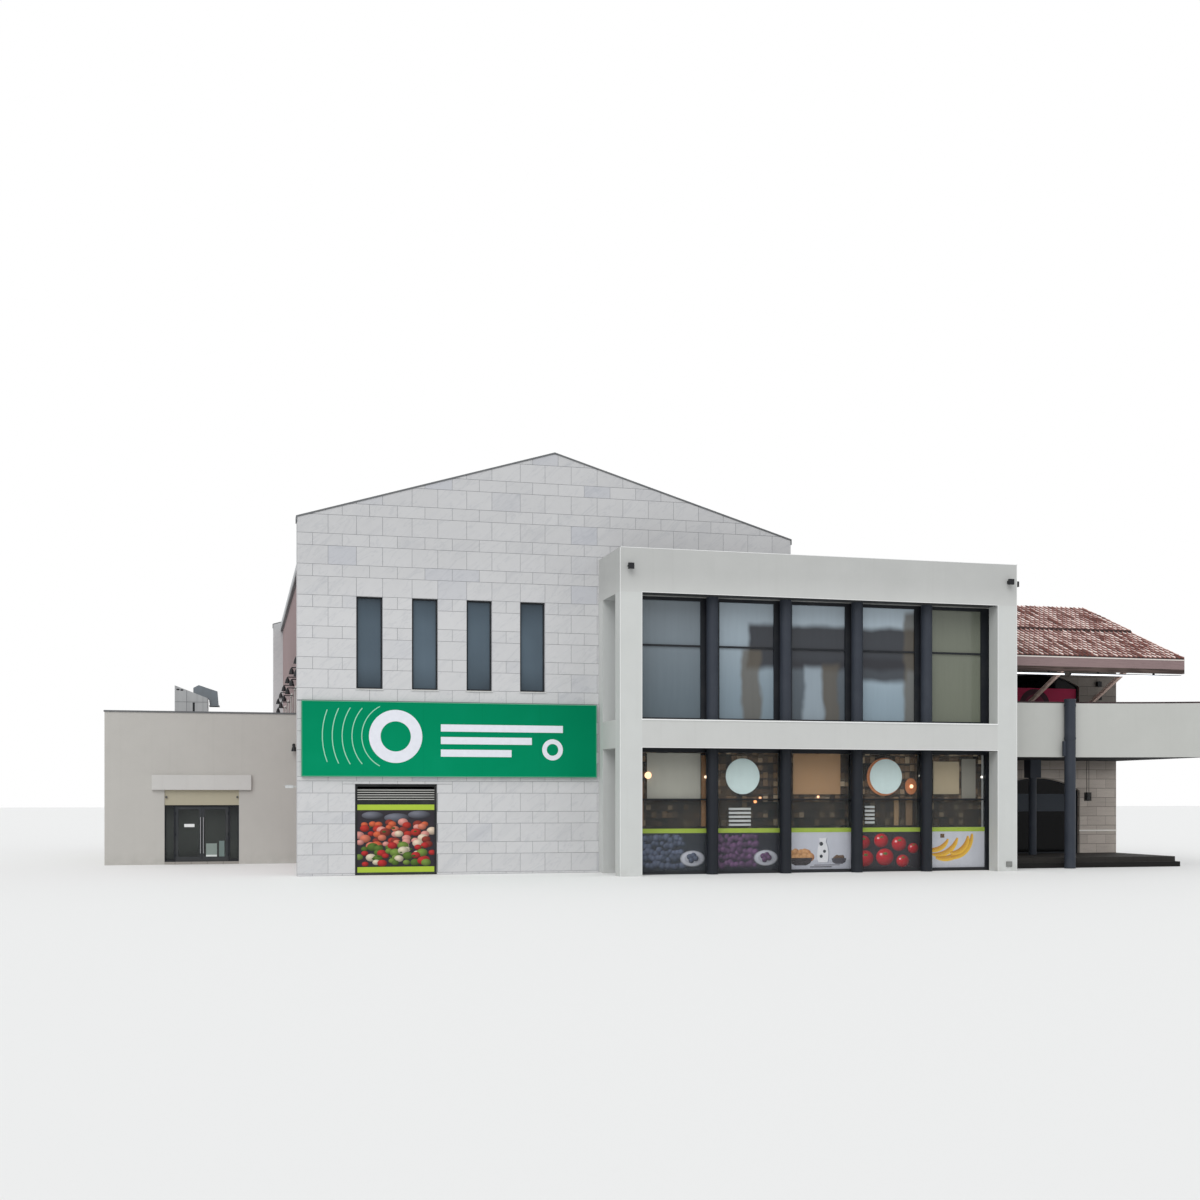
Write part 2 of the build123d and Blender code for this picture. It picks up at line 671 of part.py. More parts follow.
def window_surrounds():
    """Flat bands on the side walls round their windows, with a thin sill."""
    bands = []
    for x_low, x_high, middles in (
        (GABLE_RETURN - SURROUND_THICKNESS, GABLE_RETURN, side_window_middles()),
        (SIDE_RIGHT_OUTER, SIDE_RIGHT_OUTER + SURROUND_THICKNESS, right_window_middles()),
    ):
        for middle in middles:
            y_low = middle - SIDE_WINDOW_WIDTH / 2
            y_high = middle + SIDE_WINDOW_WIDTH / 2
            top = SIDE_WINDOW_SILL + SIDE_WINDOW_HEIGHT
            band = block(
                x_low, x_high, y_low - SURROUND_FACE, y_high + SURROUND_FACE,
                SIDE_WINDOW_SILL - SURROUND_SILL, top + SURROUND_FACE,
            )
            bands.append(band - block(x_low, x_high, y_low, y_high, SIDE_WINDOW_SILL, top))
    save("window_surrounds", *bands)


def sign_and_shop():
    """Sign panel, and the shop opening's frame with its louvre."""
    save(
        "sign_panel",
        block(
            SIGN_LEFT,
            SIGN_RIGHT,
            -SIGN_THICKNESS,
            0,
            SIGN_BOTTOM,
            SIGN_BOTTOM + SIGN_HEIGHT,
        ),
    )
    right = SHOP_LEFT + SHOP_WIDTH
    y_low = SHOP_SETBACK
    y_high = SHOP_SETBACK + SHOP_FRAME_DEPTH
    frame = block(SHOP_LEFT, right, y_low, y_high, 0, SHOP_HEIGHT)
    inner_left = SHOP_LEFT + SHOP_POST
    inner_right = right - SHOP_POST
    transom_top = SHOP_TRANSOM_BOTTOM + SHOP_TRANSOM_HEIGHT
    louvre_top = SHOP_HEIGHT - SHOP_POST
    frame -= block(inner_left, inner_right, y_low, y_high, SHOP_BOTTOM_RAIL, SHOP_TRANSOM_BOTTOM)
    frame -= block(inner_left, inner_right, y_low, y_high, transom_top, louvre_top)
    pitch = (louvre_top - transom_top) / (LOUVRE_BLADES + 1)
    for i in range(LOUVRE_BLADES):
        z = transom_top + (i + 1) * pitch
        blade = [
            (y_low, z - LOUVRE_BLADE_FALL),
            (y_low, z - LOUVRE_BLADE_FALL + LOUVRE_BLADE_THICKNESS),
            (y_high, z + LOUVRE_BLADE_THICKNESS),
            (y_high, z),
        ]
        frame += prism_along_x(blade, inner_left, inner_right)
    save("shopfront_frame", frame)
    shop_poster = block(
        inner_left,
        inner_right,
        y_low,
        y_low + POSTER_THICKNESS,
        SHOP_BOTTOM_RAIL,
        SHOP_TRANSOM_BOTTOM,
    )
    save("poster_panels", shop_poster, *glazing_posters())


def clear_bays(post_width, corner_post):
    """Clear width of each bay of the glazed front, between uprights and before the corner."""
    bays = []
    for i in range(GLAZING_BAYS):
        low = GLAZING_LEFT + i * GLAZING_BAY
        high = low + GLAZING_BAY
        low += GLAZING_END_POST if i == 0 else post_width / 2
        high -= corner_post if i == GLAZING_BAYS - 1 else post_width / 2
        bays.append((low, high))
    return bays


def storeys():
    """Bottom, transom and top levels of the two storeys of glazing, with their clear bays."""
    lower_bays = clear_bays(LOWER_POST_WIDTH, LOWER_CORNER_POST)
    upper_bays = clear_bays(UPPER_PANEL_WIDTH, UPPER_CORNER_POST)
    lower = (0, LOWER_TRANSOM_LEVEL, LOWER_OPENING_TOP, lower_bays)
    upper = (UPPER_FLOOR_LEVEL, UPPER_TRANSOM_LEVEL, UPPER_OPENING_TOP, upper_bays)
    return lower, upper


def panes_between(bottom, transom, top):
    """Clear heights above and below a storey's transom."""
    return (
        (bottom + GLAZING_RAIL, transom),
        (transom + TRANSOM_HEIGHT, top - GLAZING_RAIL),
    )


def glazing_posters():
    """Printed panels inside the foot of the lower glazing."""
    back = (GLAZING_FRONT + GLAZING_BACK) / 2 + GLASS_THICKNESS / 2
    return [
        block(low, high, back, back + POSTER_THICKNESS, GLAZING_RAIL, POSTER_TOP)
        for low, high in clear_bays(LOWER_POST_WIDTH, LOWER_CORNER_POST)
    ]


def glazing():
    """Frames and panes behind the portal: the front, and a return at each end."""
    fronts = []
    returns = []
    panes = []
    y_pane = (GLAZING_FRONT + GLAZING_BACK - GLASS_THICKNESS) / 2
    left_return = (GLAZING_LEFT, GLAZING_LEFT + GLAZING_DEPTH, GLAZING_BACK, 0)
    right_return = (
        GLAZING_RIGHT - GLAZING_DEPTH,
        GLAZING_RIGHT,
        GLAZING_BACK,
        -PORTAL_BACK_PIER_DEPTH,
    )
    for bottom, transom, top, bays in storeys():
        front = block(GLAZING_LEFT, GLAZING_RIGHT, GLAZING_FRONT, GLAZING_BACK, bottom, top)
        for z_low, z_high in panes_between(bottom, transom, top):
            for x_low, x_high in bays:
                front -= block(x_low, x_high, GLAZING_FRONT, GLAZING_BACK, z_low, z_high)
                panes.append(block(x_low, x_high, y_pane, y_pane + GLASS_THICKNESS, z_low, z_high))
        fronts.append(front)
        for x_low, x_high, y_low, y_high in (left_return, right_return):
            frame = block(x_low, x_high, y_low, y_high, bottom, top)
            x_pane = (x_low + x_high - GLASS_THICKNESS) / 2
            y_in = y_low + GLAZING_END_POST
            y_out = y_high - GLAZING_END_POST
            for z_low, z_high in panes_between(bottom, transom, top):
                frame -= block(x_low, x_high, y_in, y_out, z_low, z_high)
                panes.append(block(x_pane, x_pane + GLASS_THICKNESS, y_in, y_out, z_low, z_high))
            returns.append(frame)
    save("glazing_frames", *fronts)
    save("return_frames", *returns)
    save("glazing_glass", *panes)


def portal():
    """Rendered box frame: piers, beams and roof, and the round columns under its beams."""
    back = -PORTAL_BACK_PIER_DEPTH
    piers = []
    for x_low, x_high in ((PORTAL_LEFT, PORTAL_INNER_LEFT), (PORTAL_INNER_RIGHT, PORTAL_RIGHT)):
        piers.append(block(x_low, x_high, PORTAL_FRONT, PORTAL_MEMBER_BACK, 0, UPPER_OPENING_TOP))
        piers.append(block(x_low, x_high, back, 0, 0, UPPER_OPENING_TOP))
    save("portal_piers", *piers)
    save(
        "portal_top_beam",
        block(
            PORTAL_LEFT,
            PORTAL_RIGHT,
            PORTAL_FRONT,
            PORTAL_MEMBER_BACK,
            UPPER_OPENING_TOP,
            PORTAL_HEIGHT,
        ),
    )
    deck = block(
        PORTAL_INNER_LEFT,
        PORTAL_INNER_RIGHT,
        PORTAL_FRONT,
        0,
        LOWER_OPENING_TOP,
        UPPER_FLOOR_LEVEL,
    )
    save("portal_deck", deck)
    sides = []
    for x_low, x_high in ((PORTAL_LEFT, PORTAL_INNER_LEFT), (PORTAL_INNER_RIGHT, PORTAL_RIGHT)):
        sides.append(
            block(x_low, x_high, PORTAL_MEMBER_BACK, back, LOWER_OPENING_TOP, UPPER_FLOOR_LEVEL)
        )
        sides.append(
            block(x_low, x_high, PORTAL_MEMBER_BACK, 0, UPPER_OPENING_TOP, PORTAL_HEIGHT)
        )
    save("portal_side_beams", *sides)
    roof_high = UPPER_OPENING_TOP + PORTAL_ROOF_THICKNESS
    save(
        "portal_roof",
        block(
            PORTAL_INNER_LEFT,
            PORTAL_INNER_RIGHT,
            PORTAL_MEMBER_BACK,
            0,
            UPPER_OPENING_TOP,
            roof_high,
        ),
    )
    radius = COLUMN_DIAMETER / 2
    y = GLAZING_FRONT - COLUMN_CLEARANCE - radius
    columns = []
    for bottom, top in ((0, LOWER_OPENING_TOP), (UPPER_FLOOR_LEVEL, UPPER_OPENING_TOP)):
        for i in range(1, GLAZING_BAYS):
            columns.append(round_column(GLAZING_LEFT + i * GLAZING_BAY, y, bottom, top))
    save("round_columns", *columns, *arcade_columns())


def round_column(x, y, bottom, top, diameter=COLUMN_DIAMETER):
    """Round column between two levels."""
    shaft = Cylinder(diameter / 2, top - bottom, align=(Align.CENTER, Align.CENTER, Align.MIN))
    return Pos(x, y, bottom) * shaft


def arcade_columns():
    """Tall collared column that stands against the balcony, and the shorter one under it."""
    collar = COLUMN_DIAMETER + 2 * COLLAR_LIP
    x = PORTAL_RIGHT + FRONT_COLUMN_FROM_PORTAL
    y = balcony_edge(x, collar / 2 + SEAT_GAP)
    front = round_column(x, y, 0, FRONT_COLUMN_TOP)
    for level in FRONT_COLUMN_COLLARS:
        front += round_column(x, y, level, level + COLLAR_HEIGHT, collar)
    half = COLUMN_BOX_WIDTH / 2
    box_left = x - COLUMN_DIAMETER / 2 - COLUMN_BOX_WIDTH
    box_top = COLUMN_BOX_LEVEL + COLUMN_BOX_HEIGHT
    front += block(box_left, x, y - half, y + half, COLUMN_BOX_LEVEL, box_top)

    x = PORTAL_RIGHT + REAR_COLUMN_FROM_PORTAL
    y = REAR_COLUMN_LINE
    half = REAR_COLUMN_HEAD / 2
    head_low = BALCONY_UNDERSIDE - REAR_COLUMN_HEAD_HEIGHT
    rear = round_column(x, y, ARCADE_FLOOR_LEVEL, BALCONY_UNDERSIDE, REAR_COLUMN_DIAMETER)
    rear += block(x - half, x + half, y - half, y + half, head_low, BALCONY_UNDERSIDE)
    return [front, rear]


def link():
    """Solid walls and roof of the link between hall and arcade."""
    save(
        "link_right_wall",
        block(LINK_INNER_RIGHT, PORTAL_RIGHT, 0, LINK_DEPTH, 0, PORTAL_HEIGHT),
    )
    roof_high = UPPER_OPENING_TOP + PORTAL_ROOF_THICKNESS
    save("link_roof", link_slab(UPPER_OPENING_TOP, roof_high))


def rear_walls():
    """Plain rear walls of the wing, the link and the arcade."""
    wing = block(WING_INNER_LEFT, GABLE_RETURN, WING_INNER_REAR, WING_REAR, 0, WING_HEIGHT)
    link_wall = block(
        SIDE_RIGHT_OUTER, LINK_INNER_RIGHT, LINK_INNER_REAR, LINK_DEPTH, 0, PORTAL_HEIGHT
    )
    profile = [
        (LINK_INNER_REAR, 0),
        (LINK_DEPTH, 0),
        (LINK_DEPTH, arcade_roof_under(LINK_DEPTH)),
        (LINK_INNER_REAR, arcade_roof_under(LINK_INNER_REAR)),
    ]
    rooms = prism_along_x(profile, PORTAL_RIGHT, ARCADE_RIGHT)
    save("rear_walls", wing, link_wall, rooms)


def wing():
    """Entrance wing: walls beside and over the doorway, roof, lintel panel and name board."""
    left = block(WING_INNER_LEFT, ENTRANCE_LEFT, WING_FRONT, WING_INNER_FRONT, 0, WING_HEIGHT)
    right = block(ENTRANCE_RIGHT, GABLE_RETURN, WING_FRONT, WING_INNER_FRONT, 0, WING_HEIGHT)
    save("wing_front_walls", left, right)
    save(
        "wing_wall_over_door",
        block(
            ENTRANCE_LEFT,
            ENTRANCE_RIGHT,
            WING_FRONT,
            WING_INNER_FRONT,
            ENTRANCE_HEIGHT,
            WING_HEIGHT,
        ),
    )
    save(
        "wing_side_wall",
        block(WING_LEFT, WING_INNER_LEFT, WING_FRONT, WING_REAR, 0, WING_HEIGHT),
    )
    save(
        "wing_roof",
        block(
            WING_INNER_LEFT,
            GABLE_RETURN,
            WING_INNER_FRONT,
            WING_INNER_REAR,
            WING_ROOF_LEVEL - WING_ROOF_THICKNESS,
            WING_ROOF_LEVEL,
        ),
    )
    save(
        "lintel_panel",
        block(
            ENTRANCE_LEFT - LINTEL_PANEL_OVERHANG,
            ENTRANCE_RIGHT + LINTEL_PANEL_OVERHANG,
            WING_FRONT - LINTEL_PANEL_THICKNESS,
            WING_FRONT,
            ENTRANCE_HEIGHT,
            ENTRANCE_HEIGHT + LINTEL_PANEL_HEIGHT,
        ),
    )
    board_front = WING_FRONT + NAME_BOARD_SETBACK
    save(
        "name_board",
        block(
            ENTRANCE_LEFT,
            ENTRANCE_RIGHT,
            board_front,
            board_front + NAME_BOARD_THICKNESS,
            DOOR_SET_TOP,
            ENTRANCE_HEIGHT,
        ),
    )


def hinge_levels(low, high):
    """Heights at which each hinge's two knuckles meet."""
    first = low + HINGE_INSET
    pitch = (high - low - 2 * HINGE_INSET) / (HINGE_COUNT - 1)
    return [first + i * pitch for i in range(HINGE_COUNT)]


def knuckle(x, face, way, z_low):
    """Hinge knuckle in front of a face, with its plate on the side that way points to."""
    axis_y = face - HINGE_RADIUS
    barrel = Pos(x, axis_y, z_low) * Cylinder(
        HINGE_RADIUS, HINGE_LENGTH, align=(Align.CENTER, Align.CENTER, Align.MIN)
    )
    edge = x + way * HINGE_PLATE_WIDTH
    plate = block(min(x, edge), max(x, edge), face - HINGE_PLATE, face, z_low, z_low + HINGE_LENGTH)
    return barrel + plate


def entrance():
    """Door set: frame with sidelights, and two glazed leaves on lift-off hinges."""
    y_low = WING_FRONT + DOOR_FRAME_SETBACK
    y_high = y_low + DOOR_FRAME_DEPTH
    frame = block(ENTRANCE_LEFT, ENTRANCE_RIGHT, y_low, y_high, GROUND_SLAB, DOOR_SET_TOP)
    glass_low = GROUND_SLAB + SIDELIGHT_RAIL
    glass_high = DOOR_SET_TOP - DOOR_HEAD
    y_middle = (y_low + y_high) / 2
    half = GLASS_THICKNESS / 2
    sidelights = []
    for x_low in (
        ENTRANCE_LEFT + DOOR_JAMB,
        ENTRANCE_RIGHT - DOOR_JAMB - SIDELIGHT_WIDTH,
    ):
        x_high = x_low + SIDELIGHT_WIDTH
        frame -= block(x_low, x_high, y_low, y_high, glass_low, glass_high)
        sidelights.append(
            block(x_low, x_high, y_middle - half, y_middle + half, glass_low, glass_high)
        )
    save("sidelight_glass", *sidelights)
    clear_left = ENTRANCE_LEFT + DOOR_JAMB + SIDELIGHT_WIDTH + DOOR_MULLION
    clear_right = ENTRANCE_RIGHT - DOOR_JAMB - SIDELIGHT_WIDTH - DOOR_MULLION
    frame -= block(clear_left, clear_right, y_low, y_high, GROUND_SLAB, glass_high)
    leaf_low = GROUND_SLAB + LEAF_FLOOR_GAP
    leaf_high = glass_high - LEAF_SIDE_GAP
    for side, way, jamb in (("left", 1, clear_left), ("right", -1, clear_right)):
        hinge_x = jamb + way * LEAF_SIDE_GAP / 2
        for level in hinge_levels(leaf_low, leaf_high):
            frame += knuckle(hinge_x, y_low, -way, level - HINGE_LENGTH)
        door_leaf(side, way, jamb, y_low, leaf_low, leaf_high)
    save("entrance_frame", frame)


def door_leaf(side, way, jamb, y_front, z_low, z_high):
    """Glazed leaf, hung at its jamb and reaching the doorway's middle in the direction way."""
    hung = jamb + way * LEAF_SIDE_GAP
    meeting = ENTRANCE_MIDDLE - way * LEAF_MEETING_GAP / 2
    x_low, x_high = min(hung, meeting), max(hung, meeting)
    y_back = y_front + LEAF_THICKNESS
    leaf = block(x_low, x_high, y_front, y_back, z_low, z_high)
    left = x_low + LEAF_STILE
    right = x_high - LEAF_STILE
    bottom = z_low + LEAF_BOTTOM_RAIL
    top = z_high - LEAF_TOP_RAIL
    leaf -= block(left, right, y_front, y_back, bottom, top)
    for level in hinge_levels(z_low, z_high):
        leaf += knuckle(jamb + way * LEAF_SIDE_GAP / 2, y_front, way, level + SEAT_GAP)
    save(f"door_leaf_{side}", leaf)
    glass_front = (y_front + y_back - GLASS_THICKNESS) / 2
    glass = block(left, right, glass_front, glass_front + GLASS_THICKNESS, bottom, top)
    save(f"door_glass_{side}", glass)
    pull_x = meeting - way * PULL_INSET
    save(f"door_pulls_{side}", pull(pull_x, y_front, -1), pull(pull_x, y_back, 1))


def pull(x, face, way):
    """Long round pull handle on two posts, standing off a leaf's face."""
    y = face + way * PULL_STANDOFF
    bar = Pos(x, y, PULL_BOTTOM) * Cylinder(
        PULL_DIAMETER / 2, PULL_LENGTH, align=(Align.CENTER, Align.CENTER, Align.MIN)
    )
    foot = PULL_LENGTH / 8
    handle = bar
    for z in (PULL_BOTTOM + foot, PULL_BOTTOM + PULL_LENGTH - foot):
        post = Cylinder(PULL_DIAMETER / 3, PULL_STANDOFF)
        handle += Pos(x, (face + y) / 2, z) * Rot(90, 0, 0) * post
    return handle


def rooftop_plant():
    """Sloping plant enclosure on the wing's roof, and the bent duct that comes out of its top."""
    right = PLANT_LEFT + PLANT_WIDTH
    low_side = WING_ROOF_LEVEL + PLANT_LOW_SIDE
    high_side = WING_ROOF_LEVEL + PLANT_HIGH_SIDE
    profile = [
        (PLANT_LEFT, WING_ROOF_LEVEL),
        (right, WING_ROOF_LEVEL),
        (right, low_side),
        (PLANT_LEFT, high_side),
    ]
    save("plant_enclosure", prism_along_y(profile, PLANT_FRONT, PLANT_FRONT + PLANT_LENGTH))

    seat = low_side + (high_side - low_side) * DUCT_SEAT / PLANT_WIDTH
    heel = right - DUCT_SEAT
    outlet_right = right + DUCT_REACH
    outlet_left = outlet_right - DUCT_OUTLET_LENGTH
    outlet = low_side - DUCT_OUTLET_DROP
    bend = [
        (heel, seat),
        (heel, seat + DUCT_HEEL),
        (heel + DUCT_HEEL, seat + DUCT_CROWN),
        (outlet_right - 2 * DUCT_SHELL, low_side + DUCT_OUTLET_DROP),
        (outlet_right, outlet),
        (outlet_left, outlet),
        (outlet_left - 2 * DUCT_SHELL, low_side),
        (right, low_side),
    ]
    y_low = PLANT_FRONT + DUCT_SETBACK
    y_high = y_low + DUCT_WIDTH
    lip = DUCT_FLANGE
    duct = prism_along_y(bend, y_low, y_high)
    duct += block(
        outlet_left - lip, outlet_right + lip, y_low - lip, y_high + lip, outlet, outlet + lip
    )
    duct -= block(
        outlet_left + DUCT_SHELL, outlet_right - DUCT_SHELL, y_low + DUCT_SHELL,
        y_high - DUCT_SHELL, outlet, outlet + DUCT_RECESS,
    )
    save("roof_duct", duct)


def balcony_edge(x, before=0):
    """Line that runs before the balcony's face at x: straight, then bowing forwards on an arc."""
    along = x - PORTAL_RIGHT - BALCONY_STRAIGHT
    if along <= 0:
        return BALCONY_FRONT - before
    centre = BALCONY_FRONT - BALCONY_RADIUS
    return centre + math.sqrt((BALCONY_RADIUS - before) ** 2 - along**2)


def balcony_band(offset, width, x_high):
    """Strip in plan that follows the balcony's front, offset behind it."""
    start = Vector(PORTAL_RIGHT, BALCONY_FRONT + offset)
    bend = Vector(PORTAL_RIGHT + BALCONY_STRAIGHT, BALCONY_FRONT + offset)
    centre = Vector(bend.X, BALCONY_FRONT - BALCONY_RADIUS)

    def on_arc(radius, along):
        return Vector(centre.X + along, centre.Y + math.sqrt(radius**2 - along**2))

    reach = x_high - bend.X
    front = BALCONY_RADIUS + offset
    back = front + width
    edges = [
        Edge.make_line(start, bend),
        Edge.make_three_point_arc(bend, on_arc(front, reach / 2), on_arc(front, reach)),
        Edge.make_line(on_arc(front, reach), on_arc(back, reach)),
        Edge.make_three_point_arc(
            on_arc(back, reach), on_arc(back, reach / 2), on_arc(back, 0)
        ),
        Edge.make_line(on_arc(back, 0), start + Vector(0, width)),
        Edge.make_line(start + Vector(0, width), start),
    ]
    return Face(Wire(edges))


def raised(face, bottom, top):
    """Face in plan made solid between two levels."""
    return Solid.extrude(Pos(0, 0, bottom) * face, Vector(0, 0, top - bottom))


def balcony():
    """Floor slab, curved parapet and handrail of the gallery."""
    end = ARCADE_RIGHT
    slab = block(
        PORTAL_RIGHT, end, BALCONY_FRONT + PARAPET_THICKNESS, ARCADE_WALL_FRONT,
        BALCONY_UNDERSIDE, BALCONY_TOP,
    )
    reach = BALCONY_FRONT - balcony_edge(end)
    bow = raised(balcony_band(PARAPET_THICKNESS, reach, end), BALCONY_UNDERSIDE, BALCONY_TOP)
    save("balcony_slab", slab + bow)
    parapet = raised(balcony_band(0, PARAPET_THICKNESS, end), BALCONY_UNDERSIDE, PARAPET_TOP)
    save("balcony_parapet", parapet)
    overhang = (HANDRAIL_WIDTH - PARAPET_THICKNESS) / 2
    rail = balcony_band(-overhang, HANDRAIL_WIDTH, end)
    save("balcony_handrail", raised(rail, PARAPET_TOP, PARAPET_TOP + HANDRAIL_HEIGHT))


def arcade():
    """Raised platform with its step, arched walls, party wall, roof and eave timbers."""
    step = ARCADE_FLOOR_LEVEL / 2
    front = ARCADE_STEP_FRONT + ARCADE_STEP_TREAD
    platform = block(PORTAL_RIGHT, ARCADE_RIGHT, front, LINK_INNER_REAR, 0, ARCADE_FLOOR_LEVEL)
    platform += block(PORTAL_RIGHT, ARCADE_RIGHT, ARCADE_STEP_FRONT, front, 0, step)
    save("arcade_platform", platform)

    ground, upper = arch_levels()
    lower_wall = block(
        PORTAL_RIGHT, ARCADE_RIGHT, ARCADE_WALL_FRONT, ARCADE_WALL_BACK,
        ARCADE_FLOOR_LEVEL, BALCONY_TOP,
    )
    lower_wall -= arch_solid(*ground, 0, ARCADE_WALL_FRONT, ARCADE_WALL_BACK)
    for x_low, x_high in ((PORTAL_RIGHT, ARCH_LEFT), (ARCH_RIGHT, ARCADE_RIGHT)):
        lower_wall += block(
            x_low, x_high, ARCADE_WALL_FRONT - STRING_COURSE_LIP, ARCADE_WALL_FRONT,
            STRING_COURSE_LEVEL, STRING_COURSE_LEVEL + STRING_COURSE_HEIGHT,
        )
    save("arcade_ground_wall", lower_wall)
    profile = [
        (ARCADE_WALL_FRONT, BALCONY_TOP),
        (ARCADE_WALL_BACK, BALCONY_TOP),
        (ARCADE_WALL_BACK, arcade_roof_under(ARCADE_WALL_BACK)),
        (ARCADE_WALL_FRONT, arcade_roof_under(ARCADE_WALL_FRONT)),
    ]
    upper_wall = prism_along_x(profile, PORTAL_RIGHT, ARCADE_RIGHT)
    upper_wall -= arch_solid(*upper, 0, ARCADE_WALL_FRONT, ARCADE_WALL_BACK)
    save("arcade_upper_wall", upper_wall)

    party = [
        (ARCADE_WALL_BACK, ARCADE_FLOOR_LEVEL),
        (LINK_INNER_REAR, ARCADE_FLOOR_LEVEL),
        (LINK_INNER_REAR, arcade_roof_under(LINK_INNER_REAR)),
        (RIDGE_LINE, arcade_roof_under(RIDGE_LINE)),
        (ARCADE_WALL_BACK, arcade_roof_under(ARCADE_WALL_BACK)),
    ]
    save("party_wall", prism_along_x(party, ARCADE_RIGHT - ARCADE_WALL_THICKNESS, ARCADE_RIGHT))


def arcade_roof():
    """Stepped front slope, rear slope, eave beam and the struts that carry it."""
    tier = EAVE_FRONT + ROOF_TIER_RUN
    front = [
        (EAVE_FRONT, arcade_roof_under(EAVE_FRONT)),
        (RIDGE_LINE, arcade_roof_under(RIDGE_LINE)),
        (RIDGE_LINE, arcade_roof_top(RIDGE_LINE) + ROOF_TIER_STEP),
        (tier, arcade_roof_top(tier) + ROOF_TIER_STEP),
        (tier, arcade_roof_top(tier)),
        (EAVE_FRONT, arcade_roof_top(EAVE_FRONT)),
    ]
    save("arcade_roof_front", prism_along_x(front, PORTAL_RIGHT, ARCADE_RIGHT))
    rear = [
        (RIDGE_LINE, arcade_roof_under(RIDGE_LINE)),
        (REAR_EAVE, arcade_roof_under(REAR_EAVE)),
        (REAR_EAVE, arcade_roof_top(REAR_EAVE)),
        (RIDGE_LINE, arcade_roof_top(RIDGE_LINE)),
    ]
    save("arcade_roof_rear", prism_along_x(rear, PORTAL_RIGHT, ARCADE_RIGHT))

    beam_back = EAVE_FRONT + EAVE_BEAM_WIDTH
    beam = [
        (EAVE_FRONT, EAVE_BEAM_LOW),
        (beam_back, EAVE_BEAM_LOW),
        (beam_back, arcade_roof_under(beam_back)),
        (EAVE_FRONT, arcade_roof_under(EAVE_FRONT)),
    ]
    save("eave_beam", prism_along_x(beam, PORTAL_RIGHT, ARCADE_RIGHT))

    struts = []
    strut_top = EAVE_BEAM_LOW + STRUT_DEPTH
    profile = [
        (ARCADE_WALL_FRONT, STRUT_FOOT_LEVEL),
        (ARCADE_WALL_FRONT, STRUT_FOOT_LEVEL + STRUT_DEPTH),
        (beam_back, strut_top + STRUT_DEPTH),
        (beam_back, strut_top),
    ]
    first = PORTAL_RIGHT + FRONT_COLUMN_FROM_PORTAL
    for i in range(STRUT_COUNT):
        x = first + i * STRUT_SPACING
        struts.append(prism_along_x(profile, x - STRUT_WIDTH / 2, x + STRUT_WIDTH / 2))
    save("eave_struts", *struts)


def bell_lamp(reach):
    """Hollow bell shade on an arm and a round plate, on a wall that faces -y at the origin."""
    radius = BELL_DIAMETER / 2
    waist = 0.7 * radius
    outline = [
        (radius, 0),
        (waist, 0.6 * BELL_HEIGHT),
        (ARM_DIAMETER / 2, BELL_HEIGHT),
        (0, BELL_HEIGHT),
        (0, 0.9 * BELL_HEIGHT),
        (waist - BELL_SHELL, 0.6 * BELL_HEIGHT - BELL_SHELL),
        (radius - BELL_SHELL, 0),
    ]
    half_section = Face(Wire.make_polygon([Vector(r, 0, z) for r, z in outline], close=True))
    shade = Pos(0, -reach, 0) * revolve(half_section, Axis.Z)
    arm = Pos(0, -reach / 2, BELL_HEIGHT) * Rot(90, 0, 0) * Cylinder(ARM_DIAMETER / 2, reach)
    plate = Pos(0, -WALL_PLATE_THICKNESS / 2, BELL_HEIGHT) * Rot(90, 0, 0) * Cylinder(
        WALL_PLATE / 2, WALL_PLATE_THICKNESS
    )
    return fuse([shade, arm, plate])


def floodlight():
    """Floodlight in a yoke, on a stem and a square plate, on a wall that faces -y at the origin."""
    half = FLOODLIGHT_SIZE / 2
    back = -FLOODLIGHT_STANDOFF
    head = block(-half, half, -FLOODLIGHT_REACH, back, -half, half)
    bar = ARM_DIAMETER / 2
    outer = half + YOKE_THICKNESS
    heel = back + ARM_DIAMETER
    pivot = back - FLOODLIGHT_THICKNESS / 2
    yoke = block(-outer, outer, pivot - bar, heel, -bar, bar)
    yoke -= block(-half, half, pivot - bar, heel - YOKE_THICKNESS, -bar, bar)
    stem = block(-bar, bar, heel, 0, -bar, bar)
    plate_half = WALL_PLATE / 2
    plate = block(-plate_half, plate_half, -WALL_PLATE_THICKNESS, 0, -plate_half, plate_half)
    return fuse([head, yoke, stem, plate])


def pendant():
    """Square lantern that hangs from the balcony on two rods."""
    half = PENDANT_WIDTH / 2
    bar = PENDANT_BAR
    x = ARCH_RIGHT + half
    y = ARCADE_WALL_FRONT - PENDANT_FROM_WALL
    top = BALCONY_UNDERSIDE - PENDANT_DROP
    low = top - PENDANT_HEIGHT
    cage = block(x - half, x + half, y - half, y + half, low, top)
    inner = half - bar
    cage -= block(x - half, x + half, y - inner, y + inner, low + bar, top - bar)
    cage -= block(x - inner, x + inner, y - half, y + half, low + bar, top - bar)
    cage += round_column(x, y, low + bar, top - bar, PENDANT_WIDTH / 2)
    for offset in (-half / 2, half / 2):
        cage += round_column(x + offset, y, top - bar, BALCONY_UNDERSIDE, PENDANT_ROD_DIAMETER)
    return cage


def batten(x_low, x_high):
    """Strip light under the eave beam, on a short hanger at each quarter of its length."""
    y_middle = EAVE_FRONT + EAVE_BEAM_WIDTH / 2
    y_low = y_middle - BATTEN_DEPTH / 2
    y_high = y_middle + BATTEN_DEPTH / 2
    top = EAVE_BEAM_LOW - BATTEN_DROP
    strip = block(x_low, x_high, y_low, y_high, top - BATTEN_HEIGHT, top)
    half = BATTEN_DEPTH / 2
    quarter = (x_high - x_low) / 4
    for x in (x_low + quarter, x_high - quarter):
        strip += block(x - half, x + half, y_low, y_high, top, EAVE_BEAM_LOW)
    return strip


